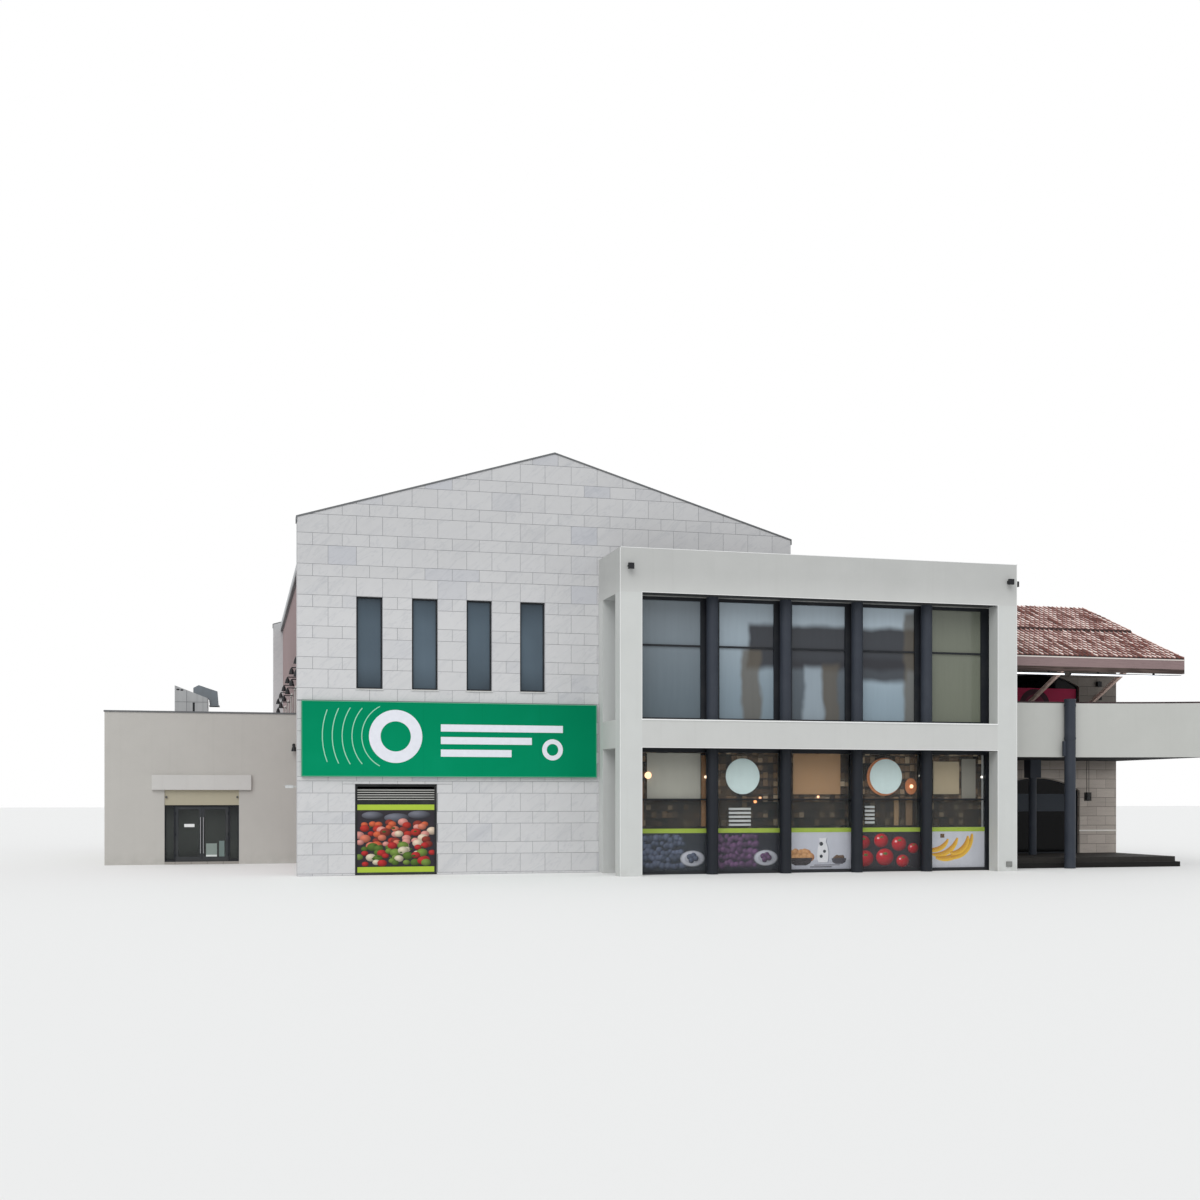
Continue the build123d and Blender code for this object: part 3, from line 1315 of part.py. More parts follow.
def lamps():
    """Lamps on the walls, on the portal, and under the eave and the balcony."""
    turned = Rot(0, 0, -90)
    fittings = []
    for y in lamp_lines():
        for level in (BELL_UPPER_LEVEL, BELL_LOWER_LEVEL):
            fittings.append(Pos(GABLE_RETURN, y, level) * turned * bell_lamp(BELL_REACH))
    corner_x = GABLE_RETURN - CORNER_LAMP_FROM_HALL
    corner = Pos(corner_x, WING_FRONT, CORNER_LAMP_LEVEL)
    fittings.append(corner * bell_lamp(CORNER_LAMP_REACH))

    z = PORTAL_HEIGHT - FLOODLIGHT_DROP
    inset = FLOODLIGHT_INSET
    fittings.append(Pos(PORTAL_LEFT + inset, PORTAL_FRONT, z) * floodlight())
    fittings.append(Pos(PORTAL_RIGHT - inset, PORTAL_FRONT, z) * floodlight())
    right_face = Pos(PORTAL_RIGHT, PORTAL_FRONT + inset, z) * Rot(0, 0, 90)
    fittings.append(right_face * floodlight())

    fittings.append(pendant())
    joint = PORTAL_RIGHT + FRONT_COLUMN_FROM_PORTAL
    gap = BATTEN_END_GAP
    fittings.append(batten(PORTAL_RIGHT + gap, joint - gap))
    fittings.append(batten(joint + gap, ARCADE_RIGHT - gap))
    pillar = (ARCH_RIGHT + ARCADE_RIGHT) / 2
    half = PILLAR_LAMP_WIDTH / 2
    y_low = ARCADE_WALL_FRONT - PILLAR_LAMP_DEPTH
    for low in PILLAR_LAMP_LEVELS:
        high = low + PILLAR_LAMP_HEIGHT
        fittings.append(block(pillar - half, pillar + half, y_low, ARCADE_WALL_FRONT, low, high))
    save("wall_lamps", *fittings)


def security_camera():
    """Camera with a hood, on an arm out of the return of the front gable."""
    y = GABLE_THICKNESS / 2
    half = CAMERA_HOUSING / 2
    inner = CAMERA_LENGTH - CAMERA_REACH
    z_low = CAMERA_LEVEL - half
    z_high = CAMERA_LEVEL + half
    plate = block(-WALL_PLATE_THICKNESS, 0, y - half, y + half, z_low, z_high)
    bar = CAMERA_HOUSING / 6
    arm = block(inner, 0, y - bar, y + bar, CAMERA_LEVEL - bar, CAMERA_LEVEL + bar)
    housing = block(-CAMERA_REACH, inner, y - half, y + half, z_low, z_high)
    outer = half + CAMERA_HOOD
    hood = block(
        -CAMERA_REACH - half, inner, y - outer, y + outer, z_high, z_high + CAMERA_HOOD
    )
    save("security_camera", fuse([plate, arm, housing, hood]))


def main():
    """Build every node."""
    os.makedirs("parts", exist_ok=True)
    hall_walls()
    hall_roof()
    floors()
    windows()
    window_surrounds()
    sign_and_shop()
    portal()
    glazing()
    link()
    rear_walls()
    wing()
    entrance()
    rooftop_plant()
    balcony()
    arcade()
    arcade_roof()
    lamps()
    security_camera()


main()
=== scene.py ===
"""Looks of the shopping mall: stone hall, glazed portal, entrance wing and tiled arcade.

Sizes are in metres in plan coordinates: x from the hall's front left corner to the right, y from
its front face to the rear, z up from the ground. Each mesh is moved to the building's own origin
when it is made, so every finished object sits at the origin with its place in its mesh.
"""
from __future__ import annotations

import logging
import math
from dataclasses import dataclass, field
from enum import Enum
from typing import Iterable, Sequence, Union

import bpy
import numpy as np
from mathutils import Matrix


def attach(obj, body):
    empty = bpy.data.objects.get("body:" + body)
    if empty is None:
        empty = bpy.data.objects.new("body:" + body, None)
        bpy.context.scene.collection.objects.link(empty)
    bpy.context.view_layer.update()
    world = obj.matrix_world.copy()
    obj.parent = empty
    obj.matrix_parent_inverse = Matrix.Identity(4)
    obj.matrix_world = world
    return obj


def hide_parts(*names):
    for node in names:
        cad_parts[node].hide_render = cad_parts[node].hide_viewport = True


LOG = logging.getLogger("mall")
PLAN_ORIGIN = np.array([12.795, 13.5125, 0.0])

HALL_WIDTH = 17.25
HALL_DEPTH = 30.0
GABLE_CORNER = 11.75
GABLE_SLOPE = 2.57 / (HALL_WIDTH / 2)
PORTAL_LEFT = 10.18
PORTAL_RIGHT = 24.62
ARCADE_RIGHT = 32.40


class Body(Enum):
    """Bodies that pieces ride on."""

    BUILDING = "building"
    LEFT_DOOR = "door_left"
    RIGHT_DOOR = "door_right"


class Slot(Enum):
    """Material slots."""

    MARBLE = "marble"
    PINK_RENDER = "pink_render"
    WHITE_RENDER = "white_render"
    ROOF_SHEET = "roof_sheet"
    DARK_METAL = "dark_metal"
    SLATE_PAINT = "slate_paint"
    FLOOR_STONE = "floor_stone"
    DARK_STONE = "dark_stone"
    BEIGE_STONE = "beige_stone"
    CONCRETE = "concrete"
    SIGN_GREEN = "sign_green"
    CREAM_PANEL = "cream_panel"
    POSTER = "poster"
    GLASS = "glass"
    STEEL = "steel"
    GALVANISED = "galvanised"
    BROWN_WOOD = "brown_wood"
    TERRACOTTA = "terracotta"


class Along(Enum):
    """Axis of the plan that a repeated thing runs along."""

    X = 0
    Y = 1
    Z = 2


def srgb(red: int, green: int, blue: int) -> tuple[float, float, float]:
    """Turn screen values from 0 to 255 into a linear colour."""
    values = np.array([red, green, blue]) / 255
    low = values / 12.92
    high = ((values + 0.055) / 1.055) ** 2.4
    linear = np.where(values <= 0.04045, low, high)
    return tuple(float(value) for value in linear)


Colour = tuple[float, float, float]
Number = Union["Value", float]
Link = Union["Value", bpy.types.NodeSocket, float, Colour]


class Value:
    """Number inside a shader. Arithmetic on it adds Math nodes."""

    def __init__(self, shader: "Shader", socket: bpy.types.NodeSocket) -> None:
        """Wrap an output socket of the shader."""
        self.shader = shader
        self.socket = socket

    def __add__(self, other: Number) -> "Value":
        """Sum."""
        return self.shader.math("ADD", self, other)

    __radd__ = __add__

    def __sub__(self, other: Number) -> "Value":
        """Difference."""
        return self.shader.math("SUBTRACT", self, other)

    def __rsub__(self, other: Number) -> "Value":
        """Difference from a plain number."""
        return self.shader.math("SUBTRACT", other, self)

    def __mul__(self, other: Number) -> "Value":
        """Product."""
        return self.shader.math("MULTIPLY", self, other)

    __rmul__ = __mul__

    def __truediv__(self, other: Number) -> "Value":
        """Quotient."""
        return self.shader.math("DIVIDE", self, other)

    def __rtruediv__(self, other: Number) -> "Value":
        """Quotient of a plain number."""
        return self.shader.math("DIVIDE", other, self)

    def __abs__(self) -> "Value":
        """Size without sign."""
        return self.shader.math("ABSOLUTE", self)

    def __gt__(self, other: Number) -> "Value":
        """One where this is larger, else nought."""
        return self.shader.math("GREATER_THAN", self, other)

    def __lt__(self, other: Number) -> "Value":
        """One where this is smaller, else nought."""
        return self.shader.math("LESS_THAN", self, other)

    def fraction(self) -> "Value":
        """Part after the decimal point."""
        return self.shader.math("FRACT", self)

    def larger(self, other: Number) -> "Value":
        """Larger of two numbers."""
        return self.shader.math("MAXIMUM", self, other)

    def smaller(self, other: Number) -> "Value":
        """Smaller of two numbers."""
        return self.shader.math("MINIMUM", self, other)

    def eased(self, low: float, high: float) -> "Value":
        """Rise smoothly from 0 at low to 1 at high.

        Args:
            low: Value at which the rise starts.
            high: Value at which it ends; below low it is a fall.

        Returns:
            The eased number.
        """
        node = self.shader.add(
            "ShaderNodeMapRange",
            {"interpolation_type": "SMOOTHSTEP"},
            {0: self, 1: low, 2: high},
        )
        return Value(self.shader, node.outputs[0])

    def between(self, low: float, high: float, soft: float) -> "Value":
        """One between two values and nought outside, with edges that are soft over a width."""
        return self.eased(low - soft, low + soft) * self.eased(high + soft, high - soft)


class Shader:
    """Node tree of one material."""

    def __init__(self, name: str) -> None:
        """Start an empty material.

        Args:
            name: Name of the material.
        """
        self.material = bpy.data.materials.new(name)
        self.material.use_nodes = True
        self.tree = self.material.node_tree
        self.tree.nodes.clear()
        self.place = self.add("ShaderNodeTexCoord").outputs["Object"]
        split = self.add("ShaderNodeSeparateXYZ", sockets={0: self.place})
        x, y, self.z = (Value(self, socket) for socket in split.outputs)
        self.x = x + float(PLAN_ORIGIN[0])
        self.y = y + float(PLAN_ORIGIN[1])

    def add(
        self,
        kind: str,
        settings: dict[str, object] | None = None,
        sockets: dict[int | str, Link] | None = None,
    ) -> bpy.types.Node:
        """Add a node.

        Args:
            kind: Type of the node.
            settings: Its settings, and "stops" of a ramp as (place, colour) pairs.
            sockets: Values or links of its input sockets, by number or name.

        Returns:
            The new node.
        """
        node = self.tree.nodes.new(kind)
        for key, value in (settings or {}).items():
            if key == "stops":
                self._set_stops(node.color_ramp, value)
            else:
                setattr(node, key, value)
        for key, value in (sockets or {}).items():
            source = value.socket if isinstance(value, Value) else value
            if isinstance(source, bpy.types.NodeSocket):
                self.tree.links.new(source, node.inputs[key])
            elif isinstance(source, tuple) and len(node.inputs[key].default_value) == 4:
                node.inputs[key].default_value = (*source, 1.0)
            else:
                node.inputs[key].default_value = source
        return node

    def _set_stops(
        self, ramp: bpy.types.ColorRamp, stops: Sequence[tuple[float, Colour]]
    ) -> None:
        """Give a ramp its stops."""
        while len(ramp.elements) < len(stops):
            ramp.elements.new(1.0)
        for element, (place, colour) in zip(ramp.elements, stops):
            element.position = place
            element.color = (*colour, 1.0)

    def math(self, operation: str, *terms: Number) -> Value:
        """Add a Math node.

        Args:
            operation: What it does.
            terms: Its inputs in order.

        Returns:
            Its result.
        """
        node = self.add("ShaderNodeMath", {"operation": operation}, dict(enumerate(terms)))
        return Value(self, node.outputs[0])

    def stretched(self, scale: Colour, shift: Link = (0.0, 0.0, 0.0)) -> bpy.types.NodeSocket:
        """Object coordinates times scale, plus a shift."""
        node = self.add(
            "ShaderNodeVectorMath",
            {"operation": "MULTIPLY_ADD"},
            {0: self.place, 1: scale, 2: shift},
        )
        return node.outputs[0]

    def attribute(self, name: str) -> Value:
        """Number that the mesh carries under a name."""
        node = self.add("ShaderNodeAttribute", {"attribute_name": name})
        return Value(self, node.outputs["Fac"])

    def tint(self) -> bpy.types.NodeSocket:
        """Colour that the mesh carries."""
        return self.add("ShaderNodeAttribute", {"attribute_name": "tint"}).outputs["Color"]

    def noise(
        self,
        scale: float,
        detail: float = 3.0,
        vector: bpy.types.NodeSocket | None = None,
        warp: float = 0.0,
    ) -> Value:
        """Cloudy pattern between about 0.3 and 0.7.

        Args:
            scale: Clouds per metre.
            detail: Octaves of finer cloud.
            vector: Coordinates, or the object's own.
            warp: How much the pattern is pulled about.

        Returns:
            The pattern.
        """
        node = self.add(
            "ShaderNodeTexNoise",
            sockets={
                "Vector": vector or self.place,
                "Scale": scale,
                "Detail": detail,
                "Distortion": warp,
            },
        )
        return Value(self, node.outputs["Fac"])

    def chance(self, column: Number, row: Number) -> Value:
        """Number from 0 to 1 that is the same all over one cell of a pattern.

        Args:
            column: Whole number of the cell one way.
            row: Whole number of the cell the other way.

        Returns:
            The cell's number.
        """
        cell = self.add("ShaderNodeCombineXYZ", sockets={0: column, 1: row, 2: 0.0})
        node = self.add(
            "ShaderNodeTexWhiteNoise",
            {"noise_dimensions": "3D"},
            {"Vector": cell.outputs[0]},
        )
        return Value(self, node.outputs["Value"])

    def mix(self, factor: Number, first: Link, second: Link) -> bpy.types.NodeSocket:
        """Colour between two colours.

        Args:
            factor: 0 for the first, 1 for the second.
            first: Colour or link.
            second: Colour or link.

        Returns:
            The mixed colour's socket.
        """
        node = self.add("ShaderNodeMix", {"data_type": "RGBA"}, {0: factor, 6: first, 7: second})
        return node.outputs[2]

    def brightened(self, colour: Link, amount: Number) -> bpy.types.NodeSocket:
        """Colour times a number."""
        scale = self.add("ShaderNodeCombineXYZ", sockets={0: amount, 1: amount, 2: amount})
        node = self.add(
            "ShaderNodeVectorMath",
            {"operation": "MULTIPLY"},
            {0: colour, 1: scale.outputs[0]},
        )
        return node.outputs[0]

    def surface(
        self,
        base: Link,
        roughness: Number,
        height: Value | None = None,
        relief: float = 0.01,
        gloss: float = 0.5,
        sockets: dict[str, Link] | None = None,
    ) -> bpy.types.Node:
        """Add the main shader.

        Args:
            base: Base colour.
            roughness: Roughness.
            height: Pattern for the bump, or none.
            relief: Depth of the bump in metres.
            gloss: Specular level.
            sockets: Other sockets of the main shader.

        Returns:
            The main shader's node.
        """
        inputs: dict[str, Link] = {
            "Base Color": base,
            "Roughness": roughness,
            "Specular IOR Level": gloss,
        }
        inputs.update(sockets or {})
        if height is not None:
            bump = self.add(
                "ShaderNodeBump", sockets={"Height": height, "Distance": relief, "Strength": 1.0}
            )
            inputs["Normal"] = bump.outputs[0]
        return self.add("ShaderNodeBsdfPrincipled", sockets=inputs)

    def finished(self, shader: bpy.types.Node) -> bpy.types.Material:
        """Lead a shader to the output and hand over the material."""
        self.add("ShaderNodeOutputMaterial", sockets={"Surface": shader.outputs[0]})
        return self.material


@dataclass(frozen=True)
class Marble:
    """Honed pale marble; the tone attribute sets each slab's shade and the run of its veins."""

    name: str
    cool: Colour = srgb(190, 192, 199)
    warm: Colour = srgb(200, 200, 201)
    vein: Colour = srgb(144, 149, 159)
    joint: Colour = srgb(132, 133, 137)
    joint_planes: tuple[float, ...] = ()
    even: float = 0.0

    def material(self) -> bpy.types.Material:
        """Make the material."""
        sh = Shader(self.name)
        tone = sh.attribute("tone") + self.even
        turn = sh.add("ShaderNodeCombineXYZ", sockets={0: tone * 31, 1: 0.0, 2: tone * 47})
        place = sh.stretched((1.0, 1.0, 1.0), turn.outputs[0])
        slant = sh.add(
            "ShaderNodeMapping", sockets={"Vector": place, "Rotation": (0.0, 0.7, 0.0)}
        ).outputs[0]
        long = sh.add(
            "ShaderNodeVectorMath", {"operation": "MULTIPLY"}, {0: slant, 1: (0.55, 1.0, 2.6)}
        ).outputs[0]
        thin = 1 - (abs(sh.noise(1.3, 5.0, long, 0.9) - 0.5) * 40).smaller(1.0)
        broad = sh.noise(0.9, 3.0, long, 0.4).eased(0.5, 0.74)
        cloud = sh.noise(4.0, 4.0, place)
        body = sh.mix(tone.eased(-0.02, 0.26), self.cool, self.warm)
        veined = sh.mix(thin * 0.16 + broad * (1 - tone) * 0.2, body, self.vein)
        # painted shade: the marble darkens towards the top of the gable
        top_shade = sh.z.eased(8.2, 11.0) * 0.09
        base = sh.brightened(veined, 0.92 + tone * 0.06 + cloud * 0.07 - top_shade)
        for plane in self.joint_planes:
            base = sh.mix(abs(sh.y - plane) < 0.002, base, self.joint)
        speckle = sh.noise(60.0, 2.0)
        rough = 0.48 + cloud * 0.2
        return sh.finished(sh.surface(base, rough, speckle * 0.4 + cloud, 0.0012, 0.3))


@dataclass(frozen=True)
class WallRender:
    """Trowelled render with faint clouds, rain streaks, a splashed foot, painted shade on its soffits
    and painted shade above a height.
    """

    name: str
    colour: Colour
    stain: Colour = srgb(150, 148, 142)
    streaks: float = 0.08
    foot: float = 0.25
    grain: float = 55.0
    soffits: tuple[float, ...] = ()
    soffit_shade: Colour = srgb(60, 61, 62)
    soffit_span: tuple[float, float] = (-100.0, 100.0)
    top_shade_from: float = 100.0

    def material(self) -> bpy.types.Material:
        """Make the material."""
        sh = Shader(self.name)
        cloud = sh.noise(0.55, 4.0)
        patch = sh.noise(2.3, 3.0)
        runs = sh.noise(1.0, 4.0, sh.stretched((5.5, 5.5, 0.22))).eased(0.52, 0.78)
        foot = sh.z.eased(0.6, 0.0) * sh.noise(3.0, 4.0).eased(0.3, 0.7)
        # painted shade: darker above a height
        top_shade = sh.z.eased(self.top_shade_from, self.top_shade_from + 1.2) * 0.15
        dirt = (runs * self.streaks + foot * self.foot).smaller(0.7)
        light = 0.93 + cloud * 0.09 + patch * 0.05 - top_shade
        base = sh.mix(dirt, sh.brightened(self.colour, light), self.stain)
        start, end = self.soffit_span
        inside = (sh.x > start) * (sh.x < end)
        # painted shade on the soffits at these levels
        for level in self.soffits:
            base = sh.mix((abs(sh.z - level) < 0.006) * inside, base, self.soffit_shade)
        grain = sh.noise(self.grain, 3.0)
        waves = sh.noise(1.6, 2.0)
        rough = 0.82 + grain * 0.12
        return sh.finished(sh.surface(base, rough, grain * 0.5 + waves * 1.2, 0.004, 0.25))


@dataclass(frozen=True)
class PaintedMetal:
    """Satin paint on metal with dust in soft clouds and a duller foot; under a height and to the
    left of a place it carries painted shade."""

    name: str
    colour: Colour
    dust: Colour = srgb(120, 118, 112)
    roughness: float = 0.42
    dusty: float = 0.10
    metallic: float = 0.0
    shade_under: float = -10.0
    shade_left_of: float = 24.5

    def material(self) -> bpy.types.Material:
        """Make the material."""
        sh = Shader(self.name)
        cloud = sh.noise(1.7, 4.0)
        drip = sh.noise(1.0, 3.0, sh.stretched((14.0, 14.0, 0.5))).eased(0.5, 0.8)
        foot = sh.z.eased(0.5, 0.0)
        dust = (cloud.eased(0.42, 0.75) + drip * 0.5 + foot * 0.8) * self.dusty
        # painted shade: darker under a height and to the left of a place
        depth = sh.z.eased(self.shade_under + 1.0, self.shade_under - 1.0)
        depth = depth * (sh.x < self.shade_left_of)
        dusted = sh.mix(dust.smaller(0.8), self.colour, self.dust)
        base = sh.brightened(dusted, 1 - depth * 0.58)
        fine = sh.noise(140.0, 2.0)
        rough = self.roughness + dust * 0.8 + fine * 0.06
        sockets: dict[str, Link] = {"Metallic": self.metallic}
        return sh.finished(sh.surface(base, rough, fine, 0.0006, 0.2, sockets))


@dataclass(frozen=True)
class Brushed:
    """Brushed steel, its scratches running along one axis."""

    name: str
    colour: Colour = srgb(178, 180, 183)
    run: Along = Along.Z

    def material(self) -> bpy.types.Material:
        """Make the material."""
        sh = Shader(self.name)
        scale = [220.0, 220.0, 220.0]
        scale[self.run.value] = 4.0
        scratch = sh.noise(1.0, 3.0, sh.stretched(tuple(scale)))
        smear = sh.noise(9.0, 3.0)
        base = sh.brightened(self.colour, 0.9 + scratch * 0.16)
        rough = 0.22 + scratch * 0.18 + smear * 0.1
        sockets: dict[str, Link] = {"Metallic": 0.9}
        return sh.finished(sh.surface(base, rough, scratch, 0.0003, 0.5, sockets))


@dataclass(frozen=True)
class SheetRoof:
    """Pale coated sheet with panel tones, run marks down the slope and dust at the seams."""

    name: str
    colour: Colour = srgb(168, 171, 174)
    panel: float = 0.42
    run: Along = Along.X

    def material(self) -> bpy.types.Material:
        """Make the material."""
        sh = Shader(self.name)
        across = {Along.X: sh.y, Along.Y: sh.x, Along.Z: sh.x}[self.run]
        level = across / self.panel
        strip = level.fraction()
        shade_ = ((level - strip) * 0.3819).fraction()
        seam = (abs(strip - 0.5) * 2).eased(0.93, 1.0)
        stretch = [6.0, 6.0, 6.0]
        stretch[self.run.value] = 0.4
        marks = sh.noise(1.0, 4.0, sh.stretched(tuple(stretch))).eased(0.45, 0.8)
        base = sh.brightened(self.colour, 0.97 + shade_ * 0.05 - marks * 0.12 - seam * 0.12)
        buckle = sh.noise(2.2, 2.0)
        rough = 0.46 + marks * 0.25
        sockets: dict[str, Link] = {"Metallic": 0.2}
        return sh.finished(sh.surface(base, rough, buckle, 0.006, 0.3, sockets))


@dataclass(frozen=True)
class Paving:
    """Square polished or flamed floor slabs with fine joints and speckled stone."""

    name: str
    colour: Colour
    slab: float = 0.6
    joint: Colour = srgb(70, 68, 66)
    roughness: float = 0.35

    def material(self) -> bpy.types.Material:
        """Make the material."""
        sh = Shader(self.name)
        line = (abs((sh.x / self.slab).fraction() - 0.5) * 2).larger(
            abs((sh.y / self.slab).fraction() - 0.5) * 2
        )
        joint = line > 1 - 0.012 / self.slab
        speck = sh.noise(70.0, 3.0)
        cloud = sh.noise(1.4, 4.0)
        body = sh.brightened(self.colour, 0.8 + speck * 0.25 + cloud * 0.16)
        base = sh.mix(joint, body, self.joint)
        rough = self.roughness + speck * 0.2 + cloud * 0.1
        return sh.finished(sh.surface(base, rough, speck * 0.3 - joint, 0.002, 0.2))


@dataclass(frozen=True)
class CourseStone:
    """Sawn stone in level courses with half-bond joints, blocks of slightly different tone and a
    pale string course that stands proud of the wall; painted shade darkens it over a height."""

    name: str
    colour: Colour = srgb(204, 194, 185)
    dark: Colour = srgb(164, 155, 147)
    joint: Colour = srgb(112, 103, 97)
    pale: Colour = srgb(244, 240, 234)
    course: float = 0.37
    block: float = 0.84
    wall_front: float = 2.80
    painted_shade_from: float = 3.2

    def material(self) -> bpy.types.Material:
        """Make the material."""
        sh = Shader(self.name)
        level = sh.z / self.course
        row = level.fraction()
        number = level - row
        across = sh.x / self.block + number * 0.5
        cell = across.fraction()
        tone = sh.chance(across - cell, number)
        edge_z = (abs(row - 0.5) * 2).eased(1 - 0.034 / self.course, 1.0)
        edge_x = (abs(cell - 0.5) * 2).eased(1 - 0.034 / self.block, 1.0)
        joint = edge_z.larger(edge_x * 0.6)
        grain = sh.noise(26.0, 4.0)
        bed = sh.noise(1.0, 3.0, sh.stretched((1.5, 1.5, 14.0)))
        body = sh.mix(tone * 0.45 + bed.eased(0.45, 0.8) * 0.3, self.colour, self.dark)
        blocks = sh.mix(joint * 0.85, sh.brightened(body, 0.9 + grain * 0.2), self.joint)
        base = sh.mix(sh.y < self.wall_front - 0.003, blocks, self.pale)
        # painted shade: darker above a height
        base = sh.brightened(base, 1 - sh.z.eased(self.painted_shade_from, self.painted_shade_from + 0.8) * 0.58)
        rough = 0.78 + grain * 0.15
        return sh.finished(sh.surface(base, rough, grain * 0.3 - joint, 0.006, 0.25))


@dataclass(frozen=True)
class Timber:
    """Weathered timber, its grain along one axis, with checks, bleached boards and, where it has
    one, a painted front face that keeps the dark timber below a height as painted shade."""

    name: str
    colour: Colour = srgb(134, 110, 104)
    dark: Colour = srgb(84, 64, 58)
    pale: Colour = srgb(172, 154, 146)
    run: Along = Along.X
    front: float | None = None
    front_foot: float = 7.36
    front_colour: Colour = srgb(147, 126, 126)

    def material(self) -> bpy.types.Material:
        """Make the material."""
        sh = Shader(self.name)
        scale = [26.0, 26.0, 26.0]
        scale[self.run.value] = 0.8
        grain = sh.noise(1.0, 5.0, sh.stretched(tuple(scale)), 0.3)
        boards = sh.noise(0.9, 2.0)
        body = sh.mix(grain.eased(0.36, 0.66), self.dark, self.colour)
        bleached = sh.mix(boards.eased(0.45, 0.7) * 0.45, body, self.pale)
        if self.front is not None:
            # painted shade: below front_foot the front face keeps the dark timber
            face = (sh.y < self.front) * (sh.z > self.front_foot)
            bleached = sh.mix(face * (0.95 - grain * 0.3), bleached, self.front_colour)
        checks = 1 - (abs(grain - 0.5) * 60).smaller(1.0)
        base = sh.mix(checks * 0.3, bleached, self.dark)
        rough = 0.72 + grain * 0.2
        return sh.finished(sh.surface(base, rough, grain, 0.004, 0.25))


@dataclass(frozen=True)
class PanTile:
    """Fired clay tiles; tone picks each tile's colour, relief runs from painted shade in its gaps to
    a painted highlight on its crest."""

    name: str
    deep: Colour = srgb(122, 66, 56)
    red: Colour = srgb(170, 98, 86)
    pink: Colour = srgb(214, 160, 148)
    crest_highlight: Colour = srgb(255, 246, 240)
    gap_shade: Colour = srgb(34, 16, 14)

    def material(self) -> bpy.types.Material:
        """Make the material."""
        sh = Shader(self.name)
        tone = sh.attribute("tone")
        relief = sh.attribute("relief")
        ramp = sh.add(
            "ShaderNodeValToRGB",
            {"stops": [(0.0, self.deep), (0.5, self.red), (1.0, self.pink)]},
            {"Fac": tone},
        )
        blotch = sh.noise(9.0, 4.0)
        aged = sh.mix(blotch.eased(0.5, 0.75) * 0.3, ramp.outputs[0], self.deep)
        # painted shade in the gaps between rolls and under each course
        shaded = sh.mix(relief.eased(0.56, 0.18) * 0.96, aged, self.gap_shade)
        # the clay is dimmed so that the painted highlight stands out
        dimmed_body = sh.brightened(shaded, 0.64)
        # painted highlight on each crest, stronger on paler tiles
        base = sh.mix(relief.eased(0.62, 0.80) * (tone * 1.5 - 0.12), dimmed_body, self.crest_highlight)
        grit = sh.noise(45.0, 3.0)
        rough = 0.5 + grit * 0.2
        return sh.finished(sh.surface(base, rough, grit, 0.003, 0.35))


@dataclass(frozen=True)
class Membrane:
    """Flat roof felt in lapped strips with ponding marks."""

    name: str
    colour: Colour = srgb(148, 148, 146)
    strip: float = 1.0

    def material(self) -> bpy.types.Material:
        """Make the material."""
        sh = Shader(self.name)
        lap = ((sh.x / self.strip).fraction()).eased(0.94, 1.0)
        pond = sh.noise(0.35, 5.0).eased(0.45, 0.7)
        grit = sh.noise(90.0, 3.0)
        base = sh.brightened(self.colour, 1.0 - lap * 0.2 - pond * 0.22 + grit * 0.1)
        return sh.finished(sh.surface(base, 0.8 + grit * 0.15, grit * 0.3 + lap, 0.004, 0.2))


@dataclass(frozen=True)
class Pane:
    """Tinted pane, darker towards its foot and its head, with rain marks; panes to the right of a
    place may have a tone of their own."""

    name: str
    tint: Colour
    deep: Colour
    cover: float = 0.9
    foot: float = 0.0
    head: float = 100.0
    right_of: float = 100.0
    right_tone: Colour = srgb(8, 9, 11)
    gloss: float = 0.35

    def material(self) -> bpy.types.Material:
        """Make the material."""
        sh = Shader(self.name)
        broad = sh.noise(0.35, 2.0, sh.stretched((1.0, 1.0, 0.8))).eased(0.36, 0.66)
        middle = (self.head - self.foot) / 2
        level = abs(sh.z - (self.foot + middle)) / middle
        dim = (broad * 0.5 + level.eased(0.35, 1.1) * 0.6).smaller(1.0)
        rain = sh.noise(1.0, 3.0, sh.stretched((9.0, 9.0, 0.6)))
        left = sh.mix(dim, self.tint, self.deep)
        base = sh.mix(sh.x > self.right_of, left, self.right_tone)
        alpha = (self.cover + rain * 0.05).smaller(1.0)
        rough = 0.04 + rain * 0.06
        waves = sh.noise(0.8, 1.0)
        sockets: dict[str, Link] = {"Alpha": alpha}
        return sh.finished(sh.surface(base, rough, waves, 0.001, self.gloss, sockets))


